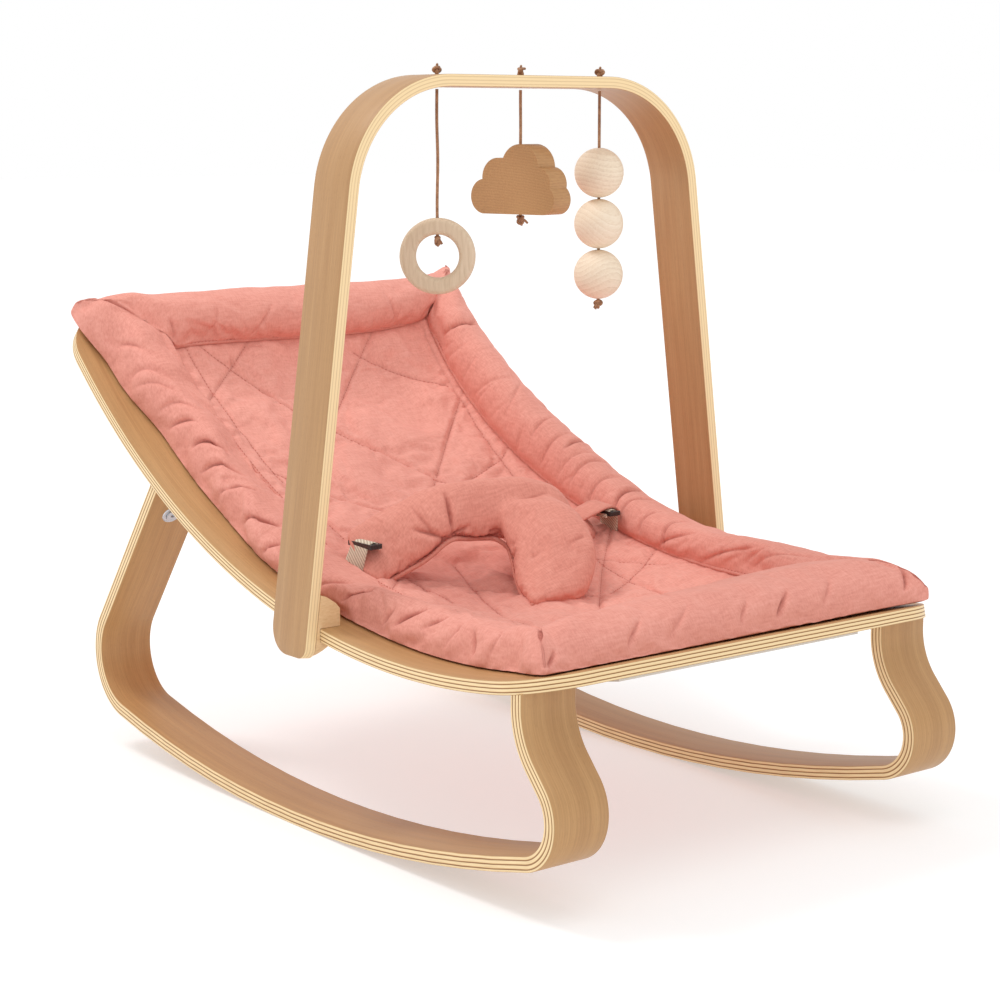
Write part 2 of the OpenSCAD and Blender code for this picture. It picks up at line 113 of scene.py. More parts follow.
class Nodes:
    """Short names for building a node tree."""

    def __init__(self, name):
        self.mat = bpy.data.materials.new(name)
        self.mat.use_nodes = True
        self.tree = self.mat.node_tree
        self.bsdf = self.tree.nodes["Principled BSDF"]

    def new(self, kind, **props):
        n = self.tree.nodes.new(kind)
        for k, v in props.items():
            setattr(n, k, v)
        return n

    def put(self, socket, value):
        if isinstance(value, bpy.types.NodeSocket):
            self.tree.links.new(value, socket)
        else:
            socket.default_value = value

    def math(self, op, a, b=0.0, c=None, clamp=False):
        n = self.new("ShaderNodeMath", operation=op, use_clamp=clamp)
        self.put(n.inputs[0], a)
        self.put(n.inputs[1], b)
        if c is not None:
            self.put(n.inputs[2], c)
        return n.outputs[0]

    def mix(self, fac, a, b, blend="MIX"):
        n = self.new("ShaderNodeMix", data_type="RGBA", blend_type=blend)
        self.put(n.inputs[0], fac)
        self.put(n.inputs[6], a)
        self.put(n.inputs[7], b)
        return n.outputs[2]

    def noise(self, vector, scale, detail=3.0, rough=0.55, distort=0.0):
        n = self.new("ShaderNodeTexNoise")
        if vector is not None:
            self.put(n.inputs["Vector"], vector)
        n.inputs["Scale"].default_value = scale
        n.inputs["Detail"].default_value = detail
        n.inputs["Roughness"].default_value = rough
        n.inputs["Distortion"].default_value = distort
        return n.outputs["Fac"]

    def stretch(self, vector, scale=(1, 1, 1), loc=(0, 0, 0), rot=(0, 0, 0)):
        n = self.new("ShaderNodeMapping")
        self.put(n.inputs["Vector"], vector)
        n.inputs["Location"].default_value = loc
        n.inputs["Rotation"].default_value = rot
        n.inputs["Scale"].default_value = scale
        return n.outputs[0]

    def ramp(self, fac, stops, interp="LINEAR"):
        n = self.new("ShaderNodeValToRGB")
        n.color_ramp.interpolation = interp
        while len(n.color_ramp.elements) < len(stops):
            n.color_ramp.elements.new(0.5)
        for e, (p, c) in zip(n.color_ramp.elements, stops):
            e.position = p
            e.color = c if len(c) == 4 else (*c, 1)
        self.put(n.inputs[0], fac)
        return n.outputs[0]

    def range(self, value, a, b, c=0.0, d=1.0):
        n = self.new("ShaderNodeMapRange")
        self.put(n.inputs[0], value)
        for k, x in zip((1, 2, 3, 4), (a, b, c, d)):
            n.inputs[k].default_value = x
        return n.outputs[0]

    def coords(self, kind="Object"):
        return self.new("ShaderNodeTexCoord").outputs[kind]

    def uv(self):
        n = self.new("ShaderNodeUVMap")
        n.uv_map = "lay"
        return n.outputs[0]

    def attr(self, name):
        n = self.new("ShaderNodeAttribute", attribute_name=name)
        return n.outputs["Fac"]

    def bump(self, height, strength, distance, normal=None):
        n = self.new("ShaderNodeBump")
        n.inputs["Strength"].default_value = strength
        n.inputs["Distance"].default_value = distance
        self.put(n.inputs["Height"], height)
        if normal is not None:
            self.put(n.inputs["Normal"], normal)
        return n.outputs[0]

    def set(self, **values):
        for k, v in values.items():
            self.put(self.bsdf.inputs[k.replace("_", " ")], v)
        return self.mat


def srgb(r, g, b):
    f = lambda c: (c / 255 / 12.92) if c / 255 <= 0.04045 else ((c / 255 + 0.055) / 1.055) ** 2.4
    return (f(r), f(g), f(b), 1.0)


VENEER_DARK = srgb(184, 141, 93)
VENEER = srgb(196, 154, 104)
VENEER_LIGHT = srgb(203, 162, 113)
PLY_LIGHT = srgb(247, 220, 172)
PLY_MID = srgb(214, 172, 118)
PLY_DARK = srgb(138, 92, 52)


def ply_material(name, veneer=(VENEER_DARK, VENEER, VENEER_LIGHT), contrast=1.0, plies=7):
    """Rotary cut veneer on the faces, ply layers on the edges; attribute ply runs 0 to 1 through them."""
    m = Nodes(name)
    uv = m.uv()
    ply = m.attr("ply")
    # veneer: long fibres along V, soft cloudy figure, small pores
    warp = m.noise(m.stretch(uv, (9, 2.2, 1)), 1.0, 3.0)
    fibre = m.noise(m.stretch(uv, (900, 14, 1)), 1.0, 4.0, 0.6)
    streak = m.noise(m.stretch(uv, (120, 3.0, 1)), 1.0, 3.0, 0.55, 0.6)
    pores = m.noise(m.stretch(uv, (2600, 150, 1)), 1.0, 1.0)
    tone = m.math("ADD", m.math("MULTIPLY", warp, 0.5), m.math("MULTIPLY", streak, 0.5))
    base = m.ramp(tone, [(0.36, veneer[0]), (0.5, veneer[1]), (0.64, veneer[2])])
    base = m.mix(m.range(fibre, 0.42, 0.62, 0.16, 0.0), base, srgb(120, 82, 50))
    base = m.mix(m.range(pores, 0.62, 0.72, 0.0, 0.22), base, srgb(110, 72, 42))
    # edge: light layers with thin dark ones between
    wobble = m.math("MULTIPLY", m.math("SUBTRACT", m.noise(m.stretch(uv, (30, 22, 1)), 1.0, 2.0), 0.5), 0.05)
    depth = m.math("ADD", ply, wobble)
    saw = m.math("FRACT", m.math("MULTIPLY", depth, plies / 2.0))
    stops = [(0.0, PLY_LIGHT), (0.50, PLY_LIGHT), (0.58, PLY_DARK),
             (0.74, PLY_DARK), (0.84, PLY_MID), (0.95, PLY_LIGHT)]
    layers = m.ramp(saw, stops)
    along = m.new("ShaderNodeSeparateXYZ")
    m.put(along.inputs[0], uv)
    lie = m.new("ShaderNodeCombineXYZ")
    m.put(lie.inputs[0], m.math("MULTIPLY", ply, 22.0))
    m.put(lie.inputs[1], m.math("MULTIPLY", along.outputs[1], 45.0))
    edge_grain = m.noise(lie.outputs[0], 1.0, 3.0)
    layers = m.mix(m.range(edge_grain, 0.45, 0.75, 0.0, 0.4 * contrast), layers, srgb(186, 140, 90))
    layers = m.mix(1.0 - contrast, layers, PLY_LIGHT)
    inside = m.math("MULTIPLY", m.range(ply, 0.015, 0.05), m.range(ply, 0.985, 0.95))
    color = m.mix(inside, base, layers)
    ridges = m.math("MULTIPLY", m.math("MULTIPLY", saw, inside), 0.5)
    height = m.math("ADD", m.math("MULTIPLY", fibre, 0.6), ridges)
    normal = m.bump(height, 0.12, 0.0004)
    rough = m.range(fibre, 0.3, 0.7, 0.36, 0.5)
    m.bsdf.inputs["Coat Weight"].default_value = 0.05
    m.bsdf.inputs["Coat Roughness"].default_value = 0.35
    m.bsdf.inputs["IOR"].default_value = 1.38
    return m.set(Base_Color=color, Roughness=rough, Normal=normal)


def solid_wood(name, dark, mid, light, axis_scale=(1, 1, 1), ring=260.0, mix=0.55, rough=0.55, loc=(0, 0, 0)):
    """Turned or sawn solid wood: growth rings round a line in the block, with fine rays."""
    m = Nodes(name)
    co = m.stretch(m.coords("Object"), axis_scale, loc)
    bend = m.noise(co, 14.0, 2.0)
    n = m.new("ShaderNodeTexWave", wave_type="RINGS", rings_direction="X", wave_profile="SAW")
    m.put(n.inputs["Vector"], co)
    n.inputs["Scale"].default_value = ring / 6.28
    n.inputs["Distortion"].default_value = 2.2
    n.inputs["Detail"].default_value = 2.0
    n.inputs["Detail Scale"].default_value = 1.2
    fine = m.noise(m.stretch(co, (300, 900, 900)), 1.0, 3.0)
    tone = m.math("ADD", m.math("MULTIPLY", n.outputs["Fac"], mix), m.math("MULTIPLY", fine, 1 - mix))
    tone = m.math("ADD", m.math("MULTIPLY", tone, 0.75), m.math("MULTIPLY", bend, 0.3))
    color = m.ramp(tone, [(0.28, dark), (0.52, mid), (0.78, light)])
    normal = m.bump(tone, 0.15, 0.0003)
    return m.set(Base_Color=color, Roughness=m.range(fine, 0.3, 0.7, rough - 0.08, rough + 0.08),
                 Normal=normal)


def cloth_material(name, dark, mid, light, weave=1700.0, sheen=0.16):
    """Plain woven cotton: crossing threads, slubs, soft fading in broad patches, painted shade in the seams
    and creases.
    """
    m = Nodes(name)
    co = m.coords("Object")
    fade = m.noise(co, 16.0, 4.0, 0.6)
    slub = m.noise(m.stretch(co, (900, 90, 300)), 1.0, 3.0, 0.6)
    slub2 = m.noise(m.stretch(co, (90, 900, 300)), 1.0, 3.0, 0.6)
    grain = m.noise(co, 2600.0, 2.0, 0.7)
    tone = m.math("ADD", m.math("MULTIPLY", fade, 0.16), m.math("MULTIPLY", m.math("ADD", slub, slub2), 0.42))
    color = m.ramp(tone, [(0.36, dark), (0.5, mid), (0.64, light)])
    color = m.mix(m.range(grain, 0.4, 0.7, 0.0, 0.22), color, light)
    # painted shade: a per-vertex attribute darkens the cloth towards deep red in creases, corners, seams and
    # under the harness
    painted_shade = m.attr("painted_shade")
    color = m.mix(m.math("MULTIPLY", painted_shade, 0.8, clamp=True), color, srgb(158, 78, 68))
    threads = []
    for turn in (0.0, math.pi / 2):
        w = m.new("ShaderNodeTexWave", wave_type="BANDS", bands_direction="X", wave_profile="SIN")
        m.put(w.inputs["Vector"], m.stretch(co, (1, 1, 1), (0, 0, 0), (0.35, 0.2, turn + 0.3)))
        w.inputs["Scale"].default_value = weave / 6.28
        w.inputs["Distortion"].default_value = 1.2
        w.inputs["Detail"].default_value = 1.0
        w.inputs["Detail Scale"].default_value = 2.0
        threads.append(w.outputs["Fac"])
    cross = m.math("MULTIPLY", threads[0], threads[1])
    height = m.math("ADD", m.math("MULTIPLY", cross, 0.5), m.math("MULTIPLY", grain, 0.8))
    soft = m.bump(m.noise(co, 75.0, 3.0, 0.55), 0.3, 0.0022)
    normal = m.bump(height, 0.28, 0.00035, soft)
    m.bsdf.inputs["Sheen Weight"].default_value = sheen
    m.bsdf.inputs["Sheen Roughness"].default_value = 0.45
    m.bsdf.inputs["Sheen Tint"].default_value = srgb(255, 222, 210)
    m.bsdf.inputs["Specular IOR Level"].default_value = 0.2
    return m.set(Base_Color=color, Roughness=0.88, Normal=normal)


def thread_material(name, color):
    m = Nodes(name)
    co = m.coords("Object")
    twist = m.noise(co, 3000.0, 1.0)
    col = m.mix(m.range(twist, 0.35, 0.7), color, tuple(min(1, c * 1.35) for c in color[:3]) + (1,))
    return m.set(Base_Color=col, Roughness=0.7, Normal=m.bump(twist, 0.3, 0.0002))


def web_material(name):
    """Herringbone cotton tape: needs uvs in metres, U across."""
    m = Nodes(name)
    uv = m.uv()
    w = m.new("ShaderNodeTexWave", wave_type="BANDS", bands_direction="DIAGONAL", wave_profile="TRI")
    m.put(w.inputs["Vector"], m.stretch(uv, (1, 1.6, 1)))
    w.inputs["Scale"].default_value = 900 / 6.28
    w.inputs["Distortion"].default_value = 0.6
    n = m.noise(m.stretch(uv, (700, 700, 1)), 1.0, 2.0)
    tone = m.math("ADD", m.math("MULTIPLY", w.outputs["Fac"], 0.6), m.math("MULTIPLY", n, 0.4))
    color = m.ramp(tone, [(0.25, srgb(176, 160, 138)), (0.55, srgb(214, 200, 178)),
                          (0.85, srgb(232, 222, 204))])
    return m.set(Base_Color=color, Roughness=0.85, Normal=m.bump(tone, 0.5, 0.0006))


def plastic_material(name):
    m = Nodes(name)
    n = m.noise(m.coords("Object"), 700.0, 3.0)
    color = m.mix(n, srgb(26, 25, 25), srgb(46, 44, 43))
    m.bsdf.inputs["Specular IOR Level"].default_value = 0.6
    return m.set(Base_Color=color, Roughness=m.range(n, 0.3, 0.7, 0.22, 0.34), Normal=m.bump(n, 0.06, 0.0003))


def metal_material(name, color, rough):
    m = Nodes(name)
    co = m.coords("Object")
    n = m.noise(m.stretch(co, (60, 60, 900)), 1.0, 3.0)
    col = m.mix(m.range(n, 0.3, 0.7, 0.0, 0.4), color, tuple(c * 0.7 for c in color[:3]) + (1,))
    return m.set(Base_Color=col, Metallic=1.0, Roughness=m.range(n, 0.3, 0.7, rough - 0.06, rough + 0.1),
                 Normal=m.bump(n, 0.08, 0.0002))


def suede_material(name):
    m = Nodes(name)
    co = m.coords("Object")
    nap = m.noise(co, 1500.0, 4.0, 0.7)
    patch = m.noise(co, 160.0, 2.0)
    color = m.ramp(m.math("ADD", m.math("MULTIPLY", nap, 0.5), m.math("MULTIPLY", patch, 0.5)),
                   [(0.35, srgb(120, 80, 54)), (0.5, srgb(164, 118, 84)), (0.66, srgb(196, 150, 114))])
    m.bsdf.inputs["Sheen Weight"].default_value = 0.3
    m.bsdf.inputs["Sheen Roughness"].default_value = 0.5
    return m.set(Base_Color=color, Roughness=0.82, Normal=m.bump(nap, 0.5, 0.0004))


M_PLY = ply_material("plywood_shell")
M_ROCK = ply_material("plywood_rocker", (srgb(182, 138, 91), srgb(193, 149, 100), srgb(200, 158, 109)))
M_ARCH = ply_material("plywood_arch", (srgb(178, 136, 93), srgb(187, 145, 101), srgb(194, 154, 110)), 0.28)
M_BLOCK = solid_wood("beech_block", srgb(216, 178, 130), srgb(229, 194, 147), srgb(238, 206, 162),
                     (1, 0.12, 1), 420.0, 0.12, 0.45)
# painted shade: a darker copy of the beech for the blocks under the seat
M_BEECH_SHADED = solid_wood("beech_painted_shade", srgb(170, 124, 80), srgb(196, 150, 104), srgb(212, 170, 124),
                    (1, 0.12, 1), 420.0, 0.5, 0.5)
M_BEAD = solid_wood("bead_wood", srgb(222, 199, 172), srgb(238, 219, 194), srgb(246, 231, 210),
                    (1, 1, 1), 520.0, 0.28, 0.6, (0.02, 0.04, -0.45))
M_RING = solid_wood("ring_wood", srgb(198, 172, 142), srgb(213, 189, 161), srgb(224, 203, 178),
                    (1, 1, 0.08), 900.0, 0.16, 0.6)
M_CLOUD = solid_wood("cloud_wood", srgb(166, 118, 73), srgb(184, 137, 89), srgb(198, 152, 104),
                     (0.12, 1, 1), 900.0, 0.2, 0.55)
M_PINK = cloth_material("pink_cotton", srgb(214, 138, 124), srgb(226, 152, 137), srgb(235, 165, 150))
# painted light: the panel's pink is a little lighter than the rim's, for the light falling on the panel
M_QUILT_PAINTED_LIGHT = cloth_material("pink_quilt", srgb(221, 147, 133), srgb(233, 161, 146), srgb(241, 173, 158))
M_PAD = cloth_material("pink_pad", srgb(208, 132, 117), srgb(221, 146, 130), srgb(231, 159, 143))
M_SEAM = thread_material("seam_thread", srgb(186, 96, 84))
M_WEB = web_material("cotton_tape")
M_WEBNODE = thread_material("pale_strip", srgb(205, 200, 192))
M_BLACK = plastic_material("black_buckle")
M_STEEL = metal_material("zinc_steel", srgb(206, 208, 212), 0.3)
M_BRASS = metal_material("brass", srgb(200, 160, 90), 0.35)
M_CORD = suede_material("suede_cord")

# ---------------------------------------------------------------- strips of bent plywood

FINE = 2.0


def chain(start, segments):
    """Points (u, v, heading in degrees, length so far) along straights and arcs, as the CAD draws them."""
    u, v, a = start
    out = [(u, v, a, 0.0)]
    for length, turn in segments:
        count = max(1, math.ceil(abs(turn) / FINE)) if turn else max(1, math.ceil(length / 40.0))
        base = out[-1]
        for k in range(1, count + 1):
            t = k / count
            h0, h1 = math.radians(base[2]), math.radians(base[2] + turn * t)
            if turn:
                r = length / math.radians(turn)
                p = (base[0] + r * (math.sin(h1) - math.sin(h0)), base[1] + r * (math.cos(h0) - math.cos(h1)))
            else:
                p = (base[0] + length * t * math.cos(h0), base[1] + length * t * math.sin(h0))
            out.append((p[0], p[1], base[2] + turn * t, base[3] + length * t))
    return out


def section(thick, q0, q1, round_r, steps=3):
    """Rounded rectangle as (p through the thickness, q across, distance round)."""
    pts = []
    cx = [(round_r, q0 + round_r), (round_r, q1 - round_r),
          (thick - round_r, q1 - round_r), (thick - round_r, q0 + round_r)]
    starts = [(270, 180), (180, 90), (90, 0), (0, -90)]
    for (c0, c1), (a0, a1) in zip(cx, starts):
        for k in range(steps + 1):
            a = math.radians(lerp(a0, a1, k / steps))
            pts.append((c0 + round_r * math.cos(a), c1 + round_r * math.sin(a)))
    return pts


def sweep(name, path, thick, width, place, material, round_r=1.2, side=1, ends=None, limits=None):
    """Sweeps a rounded section along a path; place(u, v, q) gives a point, side where the thickness lies."""
    verts, uvs, ply, faces = [], [], [], []
    rings = len(path)
    count = None
    for i, (u, v, a, s) in enumerate(path):
        q0, q1 = limits(s) if limits else (-width / 2, width / 2)
        ring = section(thick, q0, q1, round_r)
        count = len(ring)
        h = math.radians(a)
        nu, nv = -math.sin(h) * side, math.cos(h) * side
        for p, q in ring:
            pu, pv, ps = u + nu * p, v + nv * p, s
            if ends and i in (0, rings - 1):
                pu, pv, extra = ends(i, pu, pv, math.cos(h), math.sin(h))
                ps += extra
            verts.append(place(pu, pv, q))
            across = q if (p < round_r or p > thick - round_r) else p + width
            uvs.append((across * MM, ps * MM))
            ply.append(max(0.0, min(1.0, p / thick)))
    for i in range(rings - 1):
        for k in range(count):
            j = (k + 1) % count
            faces.append((i * count + k, i * count + j, (i + 1) * count + j, (i + 1) * count + k))
    faces.append(tuple(range(count)))
    faces.append(tuple(reversed(range((rings - 1) * count, rings * count))))
    obj = new_object(name, verts, faces, material, uvs, {"ply": ply})
    sharp(obj)
    return obj


def sharp(obj, angle=40):
    obj.data.polygons.foreach_set("use_smooth", [True] * len(obj.data.polygons))
    bm = bmesh.new()
    bm.from_mesh(obj.data)
    for e in bm.edges:
        if len(e.link_faces) == 2:
            e.smooth = e.calc_face_angle(0) < math.radians(angle)
    bm.to_mesh(obj.data)
    bm.free()


SEAT_Y, SEAT_Z = -174.0, 853.5
R_UNDER, R_TOP = 704.0, 694.0


def seat_point(x, a, h):
    """Seat coordinates (mm, degrees, mm above the shell's top face) to metres."""
    r = R_TOP - h
    t = math.radians(a)
    return Vector((x, SEAT_Y + r * math.sin(t), SEAT_Z - r * math.cos(t))) * MM


FLOOR_Y, FLOOR_R = -20.0, 1190.0
ROCKER_T, ROCKER_W, ROCKER_MID = 11.5, 50.0, 182.0


def arc(r, a):
    return r * math.radians(a)


def rocker_path():
    rear = chain((FLOOR_Y, 0, 0), [(arc(FLOOR_R, 13.3), 13.3), (arc(55, 113), 113), (160, 0)])
    front = chain((FLOOR_Y, 0, 0), [(arc(FLOOR_R, 14.4), 14.4), (arc(39.5, 117), 117), (19, 0),
                                    (arc(56, 42), -42), (30, 0)])
    total = front[-1][3]
    out = [(2 * FLOOR_Y - u, v, -a, total - s) for u, v, a, s in reversed(front)]
    out += [(u, v, a, total + s) for u, v, a, s in rear[1:]]
    return out


def to_shell(i, u, v, cu, cv):
    """Runs the end of a leg along its own line to the underside of the shell."""
    sign = -1 if i == 0 else 1
    du, dv = cu * sign, cv * sign
    a, b = u - SEAT_Y, v - SEAT_Z
    half_b = a * du + b * dv
    c = a * a + b * b - (R_UNDER + 0.05) ** 2
    disc = math.sqrt(max(0.0, half_b * half_b - c))
    roots = [-half_b - disc, -half_b + disc]
    t = min(roots, key=abs)
    return u + du * t, v + dv * t, sign * t


for label, sx in (("left", 1), ("right", -1)):
    obj = sweep("rocker_strip_" + label, rocker_path(), ROCKER_T, ROCKER_W,
                lambda u, v, q, sx=sx: Vector((sx * ROCKER_MID + q, u, v)) * MM, M_ROCK, 1.0, 1, to_shell)
    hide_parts("rocker_" + label)
    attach(obj, "seat")

# ---------------------------------------------------------------- seat shell


def seat_shell():
    half, a0, a1 = 210.0, -13.0, 47.4
    s0, s1 = arc(R_UNDER, a0), arc(R_UNDER, a1)
    open_a0, open_a1 = -13 + math.degrees(66 / R_UNDER), 47.4 - math.degrees(66 / R_UNDER)
    o0, o1 = arc(R_UNDER, open_a0), arc(R_UNDER, open_a1)
    open_half, open_r = 150.0, 26.0
    foot_r, head_r = 45.0, 50.0

    def corner_rows(edge, r, sign):
        return [(edge + sign * r * (1 - math.cos(math.radians(t)))) for t in range(0, 91, 6)]

    rows = corner_rows(s0, foot_r, 1) + corner_rows(s1, head_r, -1)
    rows += corner_rows(o0, open_r, 1) + corner_rows(o1, open_r, -1)
    rows += [lerp(s0, s1, k / 70) for k in range(71)]
    rows = sorted(rows)
    keep = [rows[0]]
    for r in rows[1:]:
        if r - keep[-1] > 0.02:
            keep.append(r)
    rows = keep

    def inset(s, edge, r, sign):
        d = (s - edge) * sign
        if d >= r:
            return 0.0
        return r - math.sqrt(max(0.0, r * r - (r - max(d, 0.0)) ** 2))

    verts, uvs, ply, index = [], [], [], {}
    thick = R_UNDER - R_TOP
    cols = 8

    def add(s, x, side, key):
        if key in index:
            return index[key]
        a = math.degrees(s / R_UNDER)
        verts.append(seat_point(x, a, 0.0 if side else -thick))
        uvs.append((x * MM, s * MM))
        ply.append(1.0 if side else 0.0)
        index[key] = len(verts) - 1
        return index[key]

    faces = []
    for i in range(len(rows) - 1):
        line = []
        mid = (rows[i] + rows[i + 1]) / 2
        in_open = o0 < mid < o1
        for s in (rows[i], rows[i + 1]):
            w = half - max(inset(s, s0, foot_r, 1), inset(s, s1, head_r, -1))
            # inner limit of the side rails, also used as a column elsewhere
            e = max(inset(s, o0, open_r, 1), inset(s, o1, open_r, -1)) if o0 <= s <= o1 else open_r
            o = open_half - e
            xs = [lerp(-w, -o, k / cols) for k in range(cols)]
            xs += [lerp(-o, o, k / cols) for k in range(cols + 1)]
            xs += [lerp(o, w, (k + 1) / cols) for k in range(cols)]
            line.append((s, xs))
        for k in range(3 * cols):
            if in_open and cols <= k < 2 * cols:
                continue
            for side in (0, 1):
                q = []
                for r, kk in ((0, k), (0, k + 1), (1, k + 1), (1, k)):
                    s, xs = line[r]
                    q.append(add(s, xs[kk], side, (round(s, 3), kk, side)))
                faces.append(q)
    # close the edges: every top edge with one face gets a wall
    count = {}
    for f in faces:
        for a, b in zip(f, f[1:] + f[:1]):
            key = (min(a, b), max(a, b))
            count[key] = count.get(key, 0) + 1
    back = {v: k for k, v in index.items()}
    walls = []
    for (a, b), n in count.items():
        if n == 1 and back[a][2] == 1 and back[b][2] == 1:
            a2 = index[(back[a][0], back[a][1], 0)]
            b2 = index[(back[b][0], back[b][1], 0)]
            walls.append([a, b, b2, a2])
    obj = new_object("seat_shell_ply", verts, faces + walls, M_PLY, uvs, {"ply": ply})
    bm = bmesh.new()
    bm.from_mesh(obj.data)
    layer = bm.verts.layers.float["ply"]
    wall_edges = [e for e in bm.edges if len(e.link_faces) == 2 and e.calc_face_angle(0) > math.radians(50)]
    bmesh.ops.bevel(bm, geom=wall_edges, offset=1.0 * MM, segments=3, profile=0.5, affect="EDGES",
                    clamp_overlap=True)
    for v in bm.verts:
        r = math.hypot(v.co.y / MM - SEAT_Y, v.co.z / MM - SEAT_Z)
        v[layer] = max(0.0, min(1.0, (R_UNDER - r) / thick))
    uv = bm.loops.layers.uv.active
    for f in bm.faces:
        for l in f.loops:
            a = math.atan2(l.vert.co.y / MM - SEAT_Y, SEAT_Z - l.vert.co.z / MM)
            l[uv].uv = (l.vert.co.x, R_UNDER * a * MM)
    bm.to_mesh(obj.data)
    bm.free()
    sharp(obj)
    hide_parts("seat_shell")
    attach(obj, "seat")


seat_shell()

# ---------------------------------------------------------------- toy arch

ARCH_Y, ARCH_W, ARCH_T, ARCH_TOP = -45.5, 48.0, 9.5, 587.0
ARCH_FLAT, ARCH_BEND, ARCH_SPLAY, ARCH_FOOT = 162.0, 98.5, 7.4, 145.0
leg_a = 90 - ARCH_SPLAY
leg_z = ARCH_TOP - ARCH_BEND * (1 - math.cos(math.radians(leg_a)))
leg_len = (leg_z - ARCH_FOOT) / math.cos(math.radians(ARCH_SPLAY))
half_arch = chain((0, ARCH_TOP, 0), [(ARCH_FLAT / 2, 0), (arc(ARCH_BEND, leg_a), -leg_a), (leg_len - 24, 0)]
                  + [(d, 0) for d in (3, 3, 3, 3, 3, 2, 2, 1.5, 1.2, 1, 0.7, 0.4, 0.2)])
arch_total = half_arch[-1][3]
arch_path = [(-u, v, -a, arch_total - s) for u, v, a, s in reversed(half_arch)]
arch_path += [(u, v, a, arch_total + s) for u, v, a, s in half_arch[1:]]


def arch_limits(s):
    """The lower ends are rounded, more on the side towards the head."""
    d = min(s, 2 * arch_total - s)

    def cut(r):
        return r - math.sqrt(max(0.0, r * r - (r - d) ** 2)) if d < r else 0.0

    return -ARCH_W / 2 + min(cut(9.0), 8.0), ARCH_W / 2 - min(cut(22.0), 21.0)


arch = sweep("arch_strip", arch_path, ARCH_T, ARCH_W,
             lambda u, v, q: Vector((u, ARCH_Y + q, v)) * MM, M_ARCH, 1.0, -1, None, arch_limits)
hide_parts("arch_bow")
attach(arch, "arch")

# ---------------------------------------------------------------- CAD nodes that stay


def finish_node(name, material, bevel=0.0, angle=35, weld=0.02):
    obj = nodes[name]
    obj.data.materials.clear()
    obj.data.materials.append(material)
    if weld:
        w = obj.modifiers.new("weld", "WELD")
        w.merge_threshold = weld * MM
    if bevel:
        b = obj.modifiers.new("bevel", "BEVEL")
        b.width = bevel * MM
        b.segments = 3
        b.limit_method = "ANGLE"
        b.angle_limit = math.radians(angle)
        b.use_clamp_overlap = True
        b.harden_normals = True
    return obj


for side in ("left", "right"):
    finish_node("arch_block_" + side, M_BLOCK, 1.2)
    finish_node("rear_block_" + side, M_BEECH_SHADED, 1.0)
finish_node("rear_bolts", M_STEEL, 0.3)
finish_node("front_screws", M_STEEL, 0.2)
finish_node("cup_washers", M_STEEL, 0.2)
finish_node("threaded_inserts", M_BRASS, 0.15)
finish_node("toy_cloud", M_CLOUD, 0.8)


# ---------------------------------------------------------------- cushion
DEG_MM = arc(R_TOP, 1.0)

# outer tips and inner seam corners of the padded rim: (x, angle, height)
TIPS = {"HL": (-205.0, 47.1, 20.0), "HR": (205.0, 48.0, 28.0),
        "FR": (198.0, -12.6, 13.0), "FL": (-192.0, -12.0, 5.0)}
SEAM_CORNERS = {"HL": (-141.0, 41.2, 29.0), "HR": (149.0, 42.6, 31.0),
                "FR": (140.0, -3.3, 21.0), "FL": (-137.0, -6.3, 21.0)}


def bow(t, a, b, mid, power=8.0):
    """From a at 0 to b at 1, held at mid in between, with the change close to the ends."""
    ends = lerp(a, b, t)
    w = abs(2 * t - 1) ** power
    return lerp(mid, ends, w)


def table(t, rows):
    """Smooth steps between (t, value) rows."""
    for (t0, v0), (t1, v1) in zip(rows, rows[1:]):
        if t <= t1:
            return lerp(v0, v1, smooth((t - t0) / (t1 - t0)))
    return rows[-1][1]


